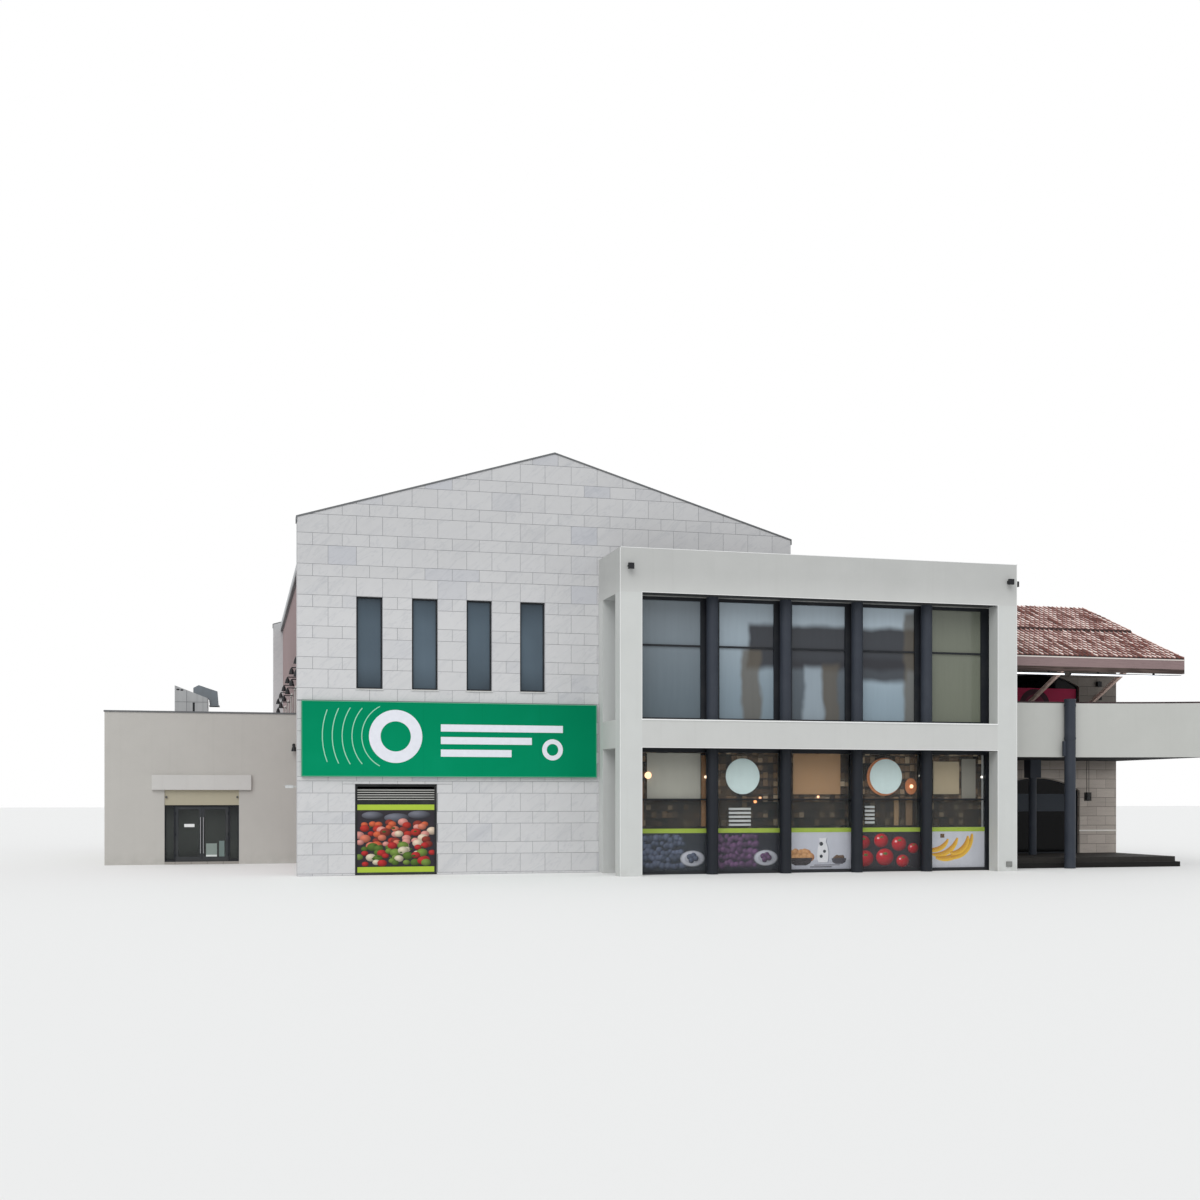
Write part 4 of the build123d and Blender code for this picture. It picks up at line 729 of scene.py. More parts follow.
@dataclass(frozen=True)
class FrontPane:
    """Panes of the glazed front: nearly clear below, closed above, where a painted reflection makes
    them paler towards the head, gives each bay its own lightness and the last one a greener tone,
    and lies over them in soft clouds."""

    name: str
    starts: tuple[float, ...] = (13.5, 16.2, 18.8, 21.4)
    lights: tuple[float, ...] = (0.52, 0.90, 1.0, 1.15, 0.72)
    foot: Colour = srgb(125, 142, 153)
    head: Colour = srgb(166, 180, 190)
    last: Colour = srgb(127, 130, 108)
    clouds: tuple[tuple[float, float, float, float, Colour, float], ...] = ()
    above: float = 5.0
    cover_below: float = 0.06
    cover_above: float = 0.94
    clear: Colour = srgb(120, 128, 130)

    def material(self) -> bpy.types.Material:
        """Make the material."""
        sh = Shader(self.name)
        # painted sky reflection: paler towards the head, each bay its own lightness, the last bay
        # greener
        rise = sh.z.eased(5.4, 9.2)
        sky = sh.mix(rise, self.foot, self.head)
        green = sh.mix((sh.x > self.starts[-1]) * 0.85, sky, self.last)
        light: Number = self.lights[0]
        for start, before, after in zip(self.starts, self.lights, self.lights[1:]):
            light = light + (sh.x > start) * (after - before)
        tone = sh.brightened(green, light)
        wave = (sh.noise(0.8, 2.0) - 0.5) * 0.5
        # each row lays a soft painted reflection over the panes
        for x0, x1, z0, z1, colour, strength in self.clouds:
            reach = (sh.x + wave).between(x0, x1, 0.10) * (sh.z + wave * 0.7).between(z0, z1, 0.14)
            tone = sh.mix(reach * strength, tone, colour)
        rain = sh.noise(1.0, 3.0, sh.stretched((9.0, 9.0, 0.6)))
        high = sh.z > self.above
        shaded = sh.brightened(tone, 0.96 + rain * 0.08)
        base = sh.mix(high, self.clear, shaded)
        alpha = self.cover_below + high * (self.cover_above - self.cover_below) + rain * 0.04
        rough = 0.04 + rain * 0.05
        sockets: dict[str, Link] = {"Alpha": alpha}
        return sh.finished(sh.surface(base, rough, sh.noise(0.8, 1.0), 0.001, 0.35, sockets))


@dataclass(frozen=True)
class ShopView:
    """Warm, dim view of shelves: level rows, goods of many browns on them and painted shade in the gaps
    above.
    """

    name: str
    cell: float = 0.19
    shelf: float = 0.27
    half: float = 2.51

    def material(self) -> bpy.types.Material:
        """Make the material."""
        sh = Shader(self.name)
        across, level = sh.x / self.cell, sh.z / self.shelf
        cell, row = across.fraction(), level.fraction()
        pick = sh.chance(across - cell, level - row)
        tall = sh.chance(across - cell + 37.0, level - row)
        ramp = sh.add(
            "ShaderNodeValToRGB",
            {
                "stops": [
                    (0.0, srgb(40, 33, 28)),
                    (0.45, srgb(78, 60, 46)),
                    (0.78, srgb(132, 104, 76)),
                    (1.0, srgb(196, 176, 146)),
                ]
            },
            {"Fac": pick},
        )
        # painted shade in the gaps above the goods and between cells
        gap_shade = (row > 0.5 + tall * 0.35).larger(cell > 0.9)
        goods = sh.mix(gap_shade * 0.8, ramp.outputs[0], srgb(26, 22, 20))
        haze = sh.noise(0.9, 3.0).eased(0.35, 0.7)
        warm = sh.mix(haze * 0.7, goods, srgb(98, 80, 62))
        base = sh.brightened(warm, 1.0 - (sh.z < self.half) * 0.6)
        return sh.finished(sh.surface(base, 0.6 + haze * 0.2, sh.noise(30.0, 2.0), 0.001, 0.1))


@dataclass(frozen=True)
class Printed:
    """Satin print or paint whose colour the mesh carries point by point."""

    name: str
    roughness: float = 0.45
    glow: float = 0.0

    def material(self) -> bpy.types.Material:
        """Make the material."""
        sh = Shader(self.name)
        wear = sh.noise(6.0, 4.0)
        dots = sh.noise(120.0, 2.0)
        base = sh.brightened(sh.tint(), 0.92 + wear * 0.14)
        sockets: dict[str, Link] = {}
        if self.glow > 0:
            sockets = {"Emission Color": base, "Emission Strength": self.glow}
        rough = self.roughness + wear * 0.15
        return sh.finished(sh.surface(base, rough, dots, 0.0004, 0.2, sockets))


@dataclass(frozen=True)
class SignFace:
    """Green sign sheet with panel joints, faint fading and rain marks."""

    name: str
    colour: Colour = srgb(0, 134, 92)
    faded: Colour = srgb(16, 148, 110)
    panel: float = 1.986

    def material(self) -> bpy.types.Material:
        """Make the material."""
        sh = Shader(self.name)
        cloud = sh.noise(0.5, 3.0)
        runs = sh.noise(1.0, 4.0, sh.stretched((7.0, 7.0, 0.4))).eased(0.5, 0.8)
        cell = ((sh.x - 0.14) / self.panel).fraction()
        joint = (abs(cell - 0.5) * 2) > 1 - 0.008 / self.panel
        soft = sh.mix(cloud.eased(0.45, 0.75) * 0.2 + runs * 0.06, self.colour, self.faded)
        fall = sh.z.eased(3.6, 5.8) * 0.10 + sh.x.eased(3.0, 11.0) * 0.14
        base = sh.brightened(soft, 1.04 - joint * 0.18 - fall)
        rough = 0.5 + runs * 0.2
        return sh.finished(sh.surface(base, rough, sh.noise(1.2, 2.0) - joint * 0.2, 0.003, 0.03))


@dataclass
class Shell:
    """Vertices and faces of a piece in plan coordinates, with a number a face and a colour a point."""

    points: np.ndarray = field(default_factory=lambda: np.zeros((0, 3)))
    faces: list[np.ndarray] = field(default_factory=list)
    tones: list[np.ndarray] = field(default_factory=list)
    tints: list[np.ndarray] = field(default_factory=list)
    relief: np.ndarray | None = None

    def painted(self, tint: Colour) -> "Shell":
        """Give every point one colour and hand the shell back."""
        self.tints = [np.tile(np.array(tint), (len(self.points), 1))]
        return self

    def toned(self, tones: np.ndarray) -> "Shell":
        """Give each repeated unit its number, the same on all of its faces.

        Args:
            tones: One number a unit; every block of faces holds a whole number a unit.

        Returns:
            This shell.
        """
        self.tones = [np.repeat(tones, len(block) // len(tones)) for block in self.faces]
        return self


def joined(shells: Iterable[Shell]) -> Shell:
    """Join shells into one.

    Args:
        shells: Shells of one piece.

    Returns:
        One shell with all their vertices and faces.
    """
    whole = Shell()
    start = 0
    stacks = []
    for shell in shells:
        stacks.append(shell.points)
        whole.faces += [block + start for block in shell.faces]
        whole.tones += shell.tones
        whole.tints += shell.tints
        start += len(shell.points)
    whole.points = np.concatenate(stacks)
    return whole


BOX_CORNERS = np.array(
    [[0, 0, 0], [1, 0, 0], [1, 1, 0], [0, 1, 0], [0, 0, 1], [1, 0, 1], [1, 1, 1], [0, 1, 1]]
)
BOX_SIDES = np.array(
    [[0, 3, 2, 1], [4, 5, 6, 7], [0, 1, 5, 4], [1, 2, 6, 5], [2, 3, 7, 6], [3, 0, 4, 7]]
)


def boxes(low: np.ndarray, high: np.ndarray) -> Shell:
    """Boxes between pairs of corners: each vertex is low plus a corner of the unit cube times
    the box's size.

    Args:
        low: Lowest corners, one row a box.
        high: Highest corners, one row a box.

    Returns:
        Shell of all the boxes.
    """
    low = np.atleast_2d(np.asarray(low, dtype=float))
    high = np.atleast_2d(np.asarray(high, dtype=float))
    points = low[:, None, :] + BOX_CORNERS[None] * (high - low)[:, None, :]
    faces = BOX_SIDES[None] + 8 * np.arange(len(low))[:, None, None]
    return Shell(points.reshape(-1, 3), [faces.reshape(-1, 4)])


def box(x0: float, x1: float, y0: float, y1: float, z0: float, z1: float) -> Shell:
    """One box by its limits along x, y and z."""
    return boxes(np.array([[x0, y0, z0]]), np.array([[x1, y1, z1]]))


def plates(outlines: np.ndarray, y_face: float, y_back: float) -> Shell:
    """Flat plates that face along y: each outline of (x, z) points, anticlockwise as seen from the
    front, stands at y_face and again at y_back, and a rim joins the two.

    Args:
        outlines: Array of plates, outline points and (x, z).
        y_face: Depth of the face.
        y_back: Depth of the back; if it is smaller the plates face the other way.

    Returns:
        Shell of all the plates.
    """
    count, corners = outlines.shape[:2]
    points = np.zeros((count, 2, corners, 3))
    points[..., 0] = outlines[:, None, :, 0]
    points[..., 2] = outlines[:, None, :, 1]
    points[:, 0, :, 1] = y_face
    points[:, 1, :, 1] = y_back
    number = np.arange(count * 2 * corners).reshape(count, 2, corners)
    front, back = number[:, 0], number[:, 1]
    rim = np.stack(
        [front, back, np.roll(back, -1, axis=1), np.roll(front, -1, axis=1)], axis=2
    ).reshape(-1, 4)
    blocks = [front, back[:, ::-1], rim]
    if y_back < y_face:
        blocks = [block[:, ::-1] for block in blocks]
    return Shell(points.reshape(-1, 3), blocks)


def disc_outline(x: float, z: float, radius: float, squash: float = 1.0, sides: int = 40) -> np.ndarray:
    """Outline of a disc or an ellipse: centre plus radius times cosine and squashed sine of an
    angle that goes once round."""
    angle = np.linspace(0, 2 * np.pi, sides, endpoint=False)
    return np.stack([x + radius * np.cos(angle), z + squash * radius * np.sin(angle)], axis=1)


def ring(
    x: float,
    z: float,
    inner: float,
    outer: float,
    y_face: float,
    y_back: float,
    start: float = 0.0,
    end: float = 360.0,
) -> Shell:
    """Flat ring, or part of one, that faces -y: a grid of angle and of four rim corners, inner and
    outer radius at the face and at the back. A part of a ring is closed by a face at each end.

    Args:
        x: Centre's place.
        z: Centre's height.
        inner: Inner radius.
        outer: Outer radius.
        y_face: Depth of the face.
        y_back: Depth of the back.
        start: Angle at which it starts, in degrees.
        end: Angle at which it ends.

    Returns:
        Shell of the ring.
    """
    whole = end - start >= 360.0
    count = max(4, round((end - start) / 5))
    angle = np.radians(np.linspace(start, end, count, endpoint=not whole))
    radius = np.array([inner, outer, outer, inner])
    depth = np.array([y_face, y_face, y_back, y_back])
    points = np.stack(
        [
            x + radius[None] * np.cos(angle)[:, None],
            np.broadcast_to(depth[None], (count, 4)),
            z + radius[None] * np.sin(angle)[:, None],
        ],
        axis=2,
    )
    shell = grid(points, whole, True)
    shell.faces = [block[:, ::-1] for block in shell.faces]
    if not whole:
        last = 4 * (count - 1)
        shell.faces.append(np.array([[0, 1, 2, 3], [last + 3, last + 2, last + 1, last]]))
    return shell


def lathe(profile: np.ndarray, centre: tuple[float, float, float], sides: int = 28) -> Shell:
    """Turned piece whose axis points to -y: each profile point of (radius, reach) goes round the
    centre, at a height of the radius times the angle's sine and a place of its cosine.

    Args:
        profile: Rows of radius and reach, from the back to the tip; a flat face closes each end.
        centre: Point of the axis at reach nought.
        sides: Steps round.

    Returns:
        Shell of the piece.
    """
    angle = np.linspace(0, 2 * np.pi, sides, endpoint=False)
    radius, reach = profile.T
    points = np.stack(
        [
            centre[0] + radius[None] * np.cos(angle)[:, None],
            np.broadcast_to(centre[1] - reach[None], (sides, len(profile))),
            centre[2] + radius[None] * np.sin(angle)[:, None],
        ],
        axis=2,
    )
    shell = grid(points, True, False)
    back = np.arange(sides)[None] * len(profile)
    shell.faces += [back[:, ::-1], back + len(profile) - 1]
    return shell


def grid(points: np.ndarray, close_u: bool = False, close_v: bool = False) -> Shell:
    """Surface over a grid of points, a quad between each four neighbours.

    Args:
        points: Array of rows, columns and (x, y, z).
        close_u: Join the last row to the first.
        close_v: Join the last column to the first.

    Returns:
        Shell of the surface.
    """
    rows, columns = points.shape[:2]
    number = np.arange(rows * columns).reshape(rows, columns)
    if close_u:
        number = np.concatenate([number, number[:1]], axis=0)
    if close_v:
        number = np.concatenate([number, number[:, :1]], axis=1)
    faces = np.stack(
        [number[:-1, :-1], number[1:, :-1], number[1:, 1:], number[:-1, 1:]], axis=2
    )
    return Shell(points.reshape(-1, 3), [faces.reshape(-1, 4)])


def frame_strips(x0: float, x1: float, z0: float, z1: float, width: float) -> np.ndarray:
    """Four strips round a rectangle, outside its edge, as rows of x0, x1, z0, z1."""
    return np.array(
        [
            [x0 - width, x1 + width, z1, z1 + width],
            [x0 - width, x1 + width, z0 - width, z0],
            [x0 - width, x0, z0, z1],
            [x1, x1 + width, z0, z1],
        ]
    )


def standing(strips: np.ndarray, y0: float, y1: float) -> Shell:
    """Boxes from rows of x0, x1, z0, z1 between two depths."""
    count = len(strips)
    low = np.stack([strips[:, 0], np.full(count, y0), strips[:, 2]], axis=1)
    high = np.stack([strips[:, 1], np.full(count, y1), strips[:, 3]], axis=1)
    return boxes(low, high)


def shade(node: str, material: bpy.types.Material) -> None:
    """Dress a node of the frame in a material.

    Args:
        node: Name of the node.
        material: Material for all of it.
    """
    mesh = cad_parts[node].data
    mesh.materials.clear()
    mesh.materials.append(material)


def make(
    name: str,
    shell: Shell,
    material: bpy.types.Material,
    body: Body = Body.BUILDING,
    smooth: bool = False,
    replaces: Sequence[str] = (),
) -> bpy.types.Object:
    """Make an object from a shell and join it to the frame.

    Args:
        name: Name of the piece.
        shell: Its vertices and faces in plan coordinates.
        material: Its finish.
        body: Body it rides on.
        smooth: Whether its faces are shaded as one surface.
        replaces: Nodes that it stands for.

    Returns:
        The new object.
    """
    mesh = bpy.data.meshes.new(name)
    faces = [face for block in shell.faces for face in block.tolist()]
    mesh.from_pydata((shell.points - PLAN_ORIGIN).tolist(), [], faces)
    if shell.tones:
        layer = mesh.attributes.new("tone", "FLOAT", "FACE")
        layer.data.foreach_set("value", np.concatenate(shell.tones).astype(np.float32))
    if shell.tints:
        tints = np.concatenate(shell.tints)
        colours = np.concatenate([tints, np.ones((len(tints), 1))], axis=1)
        layer = mesh.attributes.new("tint", "FLOAT_COLOR", "POINT")
        layer.data.foreach_set("color", colours.ravel().astype(np.float32))
    if shell.relief is not None:
        layer = mesh.attributes.new("relief", "FLOAT", "POINT")
        layer.data.foreach_set("value", shell.relief.astype(np.float32))
    if smooth:
        mesh.shade_smooth()
    mesh.materials.append(material)
    mesh.update()
    piece = bpy.data.objects.new(name, mesh)
    bpy.context.collection.objects.link(piece)
    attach(piece, body.value)
    if replaces:
        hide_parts(*replaces)
    LOG.info("%s: %d faces", name, len(faces))
    return piece


def gable_height(x: np.ndarray) -> np.ndarray:
    """Height of the gable at x: its corner height plus the slope times the nearer end's distance."""
    return GABLE_CORNER + GABLE_SLOPE * np.minimum(x, HALL_WIDTH - x)


@dataclass
class GableCladding:
    """Marble slabs on one gable in tall and short courses that line up with its windows."""

    name: str
    y_wall: float
    proud: float
    openings: tuple[tuple[float, float, float, float], ...]
    seed: int
    tall: float = 0.62
    short: float = 0.3967
    datum: float = 9.22
    slab: float = 0.9175
    joint: float = 0.012
    window_lefts: tuple[float, ...] = (1.92, 3.755, 5.59, 7.425)
    window_width: float = 0.86

    def upright_joints(self) -> np.ndarray:
        """Places of the upright joints in the tall courses."""
        windows = [edge for left in self.window_lefts for edge in (left, left + self.window_width)]
        after = np.arange(windows[-1] + self.slab, HALL_WIDTH - 0.3, self.slab)
        return np.concatenate([[0.0, 1.0], windows, after, [HALL_WIDTH]])

    def slabs(self) -> np.ndarray:
        """Slabs as rows of x0, x1, z0, z1, with the openings taken out."""
        tall_joints = self.upright_joints()
        middles = (tall_joints[:-1] + tall_joints[1:]) / 2
        short_joints = np.concatenate([[0.0], middles, [HALL_WIDTH]])
        pair = self.tall + self.short
        first = -math.ceil(self.datum / pair)
        last = math.ceil((gable_height(np.array(HALL_WIDTH / 2)) - self.datum) / pair)
        rows = []
        for number in range(first, int(last) + 1):
            z = self.datum + number * pair
            for joints, low, high in (
                (tall_joints, z, z + self.tall),
                (short_joints, z + self.tall, z + pair),
            ):
                row = np.empty((len(joints) - 1, 4))
                row[:, 0], row[:, 1] = joints[:-1], joints[1:]
                row[:, 2], row[:, 3] = max(low, 0.0), high
                if high > 0.05:
                    rows.append(row)
        rects = np.concatenate(rows)
        for opening in self.openings:
            rects = without(rects, opening)
        return rects

    def build(self, finish: bpy.types.Material) -> None:
        """Make the slabs. Each is a plate whose top edge is the lower of its course line and the
        gable's slope, taken at nine places along it.

        Args:
            finish: Marble.
        """
        rects = self.slabs()
        reach = (rects[:, 2] - GABLE_CORNER) / GABLE_SLOPE
        x0 = np.maximum(rects[:, 0], reach) + self.joint / 2
        x1 = np.minimum(rects[:, 1], HALL_WIDTH - reach) - self.joint / 2
        keep = x1 - x0 > 0.04
        x0, x1, z0, z1 = x0[keep], x1[keep], rects[keep, 2], rects[keep, 3]
        z0 = z0 + self.joint / 2
        along = x0[:, None] + (x1 - x0)[:, None] * np.linspace(1, 0, 9)[None]
        top = np.minimum((z1 - self.joint / 2)[:, None], gable_height(along) - 0.004)
        top = np.maximum(top, z0[:, None] + 0.002)
        upper = np.stack([along, top], axis=2)
        left = np.stack([x0, z0], axis=1)[:, None]
        right = np.stack([x1, z0], axis=1)[:, None]
        outlines = np.concatenate([left, right, upper], axis=1)
        way = 1.0 if self.y_wall > 1 else -1.0
        shell = plates(outlines, self.y_wall + way * self.proud, self.y_wall)
        tones = np.random.default_rng(self.seed).beta(2.0, 2.0, len(outlines))
        make(self.name, shell.toned(tones), finish)


def without(rects: np.ndarray, opening: tuple[float, float, float, float]) -> np.ndarray:
    """Take a rectangle out of others, cutting what it meets into what is left beside, over and
    under it.

    Args:
        rects: Rows of x0, x1, z0, z1.
        opening: x0, x1, z0, z1 to take out.

    Returns:
        What is left, in pieces more than 3 cm wide and high.
    """
    a, b, c, d = opening
    x0, x1, z0, z1 = rects.T
    hit = (x0 < b) & (x1 > a) & (z0 < d) & (z1 > c)
    inner0, inner1 = np.maximum(z0, c), np.minimum(z1, d)
    parts = [
        rects[~hit],
        np.stack([x0, np.minimum(x1, a), inner0, inner1], axis=1)[hit],
        np.stack([np.maximum(x0, b), x1, inner0, inner1], axis=1)[hit],
        np.stack([x0, x1, z0, np.minimum(z1, c)], axis=1)[hit],
        np.stack([x0, x1, np.maximum(z0, d), z1], axis=1)[hit],
    ]
    left = np.concatenate(parts)
    return left[(left[:, 1] - left[:, 0] > 0.03) & (left[:, 3] - left[:, 2] > 0.03)]


@dataclass
class Hall:
    """Stone gables, pink side walls, seamed roof and window sills of the hall."""

    window_sill: float = 6.17
    window_head: float = 9.22
    seam_pitch: float = 0.42
    seam_height: float = 0.035
    roof_drop: float = 0.10
    eave: float = 0.38

    def windows(self) -> list[tuple[float, float, float, float]]:
        """Openings of the narrow windows."""
        return [(x, x + 0.86, self.window_sill, self.window_head) for x in (1.92, 3.755, 5.59, 7.425)]

    def clad(self) -> None:
        """Dress both gables with slabs, and their nodes with plain marble."""
        marble = Marble("marble_slabs").material()
        front_openings = self.windows() + [
            (1.88, 4.59, 0.0, 3.02),
            (0.14, 10.07, 3.265, 5.745),
            (PORTAL_LEFT, HALL_WIDTH, 0.0, 9.59),
        ]
        GableCladding("front_slabs", 0.0, 0.008, tuple(front_openings), 5).build(marble)
        GableCladding("rear_slabs", HALL_DEPTH, 0.008, tuple(self.windows()), 9).build(marble)
        wall = Marble("marble_wall", joint_planes=(0.0, HALL_DEPTH), even=0.6).material()
        for node in ("front_gable_wall", "front_gable_over_link", "front_gable_pier"):
            shade(node, wall)
        shade("rear_gable_wall", wall)

    def sills(self) -> None:
        """Thin pale sills under the narrow windows of both gables."""
        strips = np.array([[a - 0.03, b + 0.03, c - 0.03, c] for a, b, c, _ in self.windows()])
        shells = [
            standing(strips, -0.045, 0.10),
            standing(strips, HALL_DEPTH - 0.10, HALL_DEPTH + 0.03),
        ]
        pale = WallRender("sill_stone", srgb(206, 206, 204), streaks=0.3, foot=0.0).material()
        make("gable_sills", joined(shells), pale)

    def seams(self) -> None:
        """Standing seams: thin ribs up both slopes, each a prism whose foot and top follow the
        slope from the eave to the ridge."""
        y = np.arange(0.42 + self.seam_pitch, HALL_DEPTH - 0.6, self.seam_pitch)
        foot = np.array([self.eave, HALL_WIDTH / 2 - 0.03])
        rise = gable_height(foot) - self.roof_drop
        shells = []
        for mirrored in (False, True):
            points = np.zeros((len(y), 2, 2, 2, 3))
            for end in (0, 1):
                x = HALL_WIDTH - foot[end] if mirrored else foot[end]
                points[:, end, :, :, 0] = x
                points[:, end, 0, :, 2] = rise[end] - 0.002
                points[:, end, 1, :, 2] = rise[end] + self.seam_height
            points[:, :, :, 0, 1] = (y - 0.012)[:, None, None]
            points[:, :, :, 1, 1] = (y + 0.012)[:, None, None]
            corner = np.arange(len(y))[:, None] * 8
            sides = np.array(
                [
                    [0, 1, 3, 2], [4, 6, 7, 5], [0, 4, 5, 1],
                    [2, 3, 7, 6], [0, 2, 6, 4], [1, 5, 7, 3],
                ]
            )
            if mirrored:
                sides = sides[:, ::-1]
            faces = (corner[:, None] + sides[None]).reshape(-1, 4)
            shells.append(Shell(points.reshape(-1, 3), [faces[:, ::-1]]))
        cap = box(
            HALL_WIDTH / 2 - 0.16, HALL_WIDTH / 2 + 0.16, 0.42, HALL_DEPTH - 0.42,
            14.215, 14.255,
        )
        sheet = SheetRoof("roof_sheet_slope").material()
        make("roof_seams", joined(shells + [cap]), sheet)
        shade("hall_roof_left", sheet)
        shade("hall_roof_right", sheet)

    def build(self) -> None:
        """Dress the hall."""
        self.clad()
        self.sills()
        self.seams()
        pink = WallRender(
            "pink_side_render", srgb(151, 132, 132), srgb(120, 106, 105), 0.2, 0.4
        ).material()
        shade("left_side_wall", pink)
        shade("right_side_wall", pink)
        surround = WallRender("window_surround", srgb(214, 213, 208), foot=0.0).material()
        shade("window_surrounds", surround)
        trim = PaintedMetal("coping_paint", srgb(104, 106, 108), dusty=0.2).material()
        shade("metal_trim", trim)
        shade("hall_floor", Paving("hall_floor_stone", srgb(150, 146, 140)).material())
        shade("upper_floors", Membrane("upper_floor_screed", srgb(158, 156, 152)).material())


@dataclass
class Glazing:
    """Window frames and panes all round the building."""

    # colours of the painted reflections on the upper front panes
    dim: Colour = srgb(42, 43, 49)
    tan: Colour = srgb(90, 84, 74)
    pale: Colour = srgb(158, 172, 182)

    def front_reflections(self) -> tuple[tuple[float, float, float, float, Colour, float], ...]:
        """Painted reflections over the upper front panes, as x0, x1, z0, z1, colour and strength."""
        return (
            (14.9, 21.2, 7.0, 8.45, self.dim, 0.95),
            (19.0, 20.8, 6.6, 7.4, self.dim, 0.90),
            (16.3, 18.9, 5.0, 7.3, self.dim, 0.72),
            (14.7, 15.4, 5.0, 7.6, self.tan, 0.80),
            (17.7, 18.3, 5.0, 7.2, self.tan, 0.75),
            (20.7, 21.4, 5.0, 9.0, self.tan, 0.80),
            (17.0, 17.7, 5.0, 7.1, self.pale, 0.66),
        )

    def build(self) -> None:
        """Dress frames and panes."""
        frame = PaintedMetal("frame_paint", srgb(30, 33, 38), dusty=0.05).material()
        for node in ("window_frames", "glazing_frames", "return_frames", "entrance_frame"):
            shade(node, frame)
        shade("window_glass", Pane(
            "window_pane", srgb(92, 107, 119), srgb(66, 77, 86), 0.93, 6.2, 9.2, 24.0,
            gloss=0.12).material())
        shade("glazing_glass", FrontPane("front_pane", clouds=self.front_reflections()).material())
        door = Pane(
            "door_pane", srgb(66, 71, 68), srgb(30, 33, 33), 0.7, 0.0, 2.2).material()
        for node in ("sidelight_glass", "door_glass_left", "door_glass_right"):
            shade(node, door)


@dataclass
class Portal:
    """Rendered box frame with its edge beads, sill, columns and roof."""

    left: float = PORTAL_LEFT
    right: float = PORTAL_RIGHT
    front: float = -2.78
    pier: float = 0.755
    lower_top: float = 4.21
    upper_floor: float = 5.14
    upper_top: float = 9.29
    bead: float = 0.018

    def beads(self) -> Shell:
        """Corner beads along both openings' edges and the outer edge, 4 mm proud of the front, and
        the pale metal sill over the deck's front edge."""
        x0, x1 = self.left + self.pier, self.right - self.pier
        width = self.bead
        strips = [
            frame_strips(x0, x1, self.upper_floor, self.upper_top, width),
            np.array(
                [
                    [x0 - width, x1 + width, self.lower_top, self.lower_top + width],
                    [x0 - width, x0, 0.0, self.lower_top],
                    [x1, x1 + width, 0.0, self.lower_top],
                    [self.left, self.left + width, 0.0, 10.75],
                    [self.right - width, self.right, 0.0, 10.75],
                    [self.left, self.right, 10.75 - width, 10.75],
                ]
            ),
        ]
        edges = standing(np.concatenate(strips), self.front - 0.004, self.front + 0.002)
        sill = box(
            x0, x1, self.front - 0.02, self.front + 0.12,
            self.upper_floor - 0.03, self.upper_floor + 0.012,
        )
        return joined([edges, sill])

    def socket_box(self) -> Shell:
        """Small grey service box near the foot of the right pier, with its raised lid."""
        body = box(24.19, 24.41, self.front - 0.035, self.front, 0.16, 0.34)
        lid = box(24.205, 24.395, self.front - 0.045, self.front - 0.035, 0.18, 0.32)
        return joined([body, lid])

    def build(self) -> None:
        """Dress the portal."""
        # the piers and beams carry painted shade above 8.9 m, the beams also painted shade on their
        # soffits
        piers = WallRender(
            "pier_render", srgb(197, 199, 197), streaks=0.05, foot=0.2, top_shade_from=8.9
        ).material()
        beams = WallRender(
            "beam_render", srgb(193, 194, 192), streaks=0.05, foot=0.0,
            soffits=(self.lower_top, self.upper_top),
            soffit_span=(self.left + self.pier + 0.01, self.right - self.pier - 0.01),
            top_shade_from=8.9,
        ).material()
        for node in ("portal_piers", "link_right_wall"):
            shade(node, piers)
        for node in ("portal_top_beam", "portal_side_beams", "portal_deck"):
            shade(node, beams)
        edge = WallRender("bead_paint", srgb(228, 229, 228), streaks=0.03).material()
        make("portal_beads", self.beads(), edge)
        grey = PaintedMetal("socket_paint", srgb(128, 130, 128), dusty=0.3).material()
        make("socket_box", self.socket_box(), grey)
        roof = Membrane("flat_roof_felt").material()
        for node in ("portal_roof", "link_roof", "wing_roof"):
            shade(node, roof)
        # the columns carry painted shade below the upper floor, left of the arcade
        shade("round_columns", PaintedMetal(
            "column_paint", srgb(49, 54, 63), srgb(96, 100, 106), 0.45, 0.08,
            shade_under=self.upper_floor - 0.4).material())
        shade("link_floor", Paving("link_floor_stone", srgb(168, 162, 152)).material())


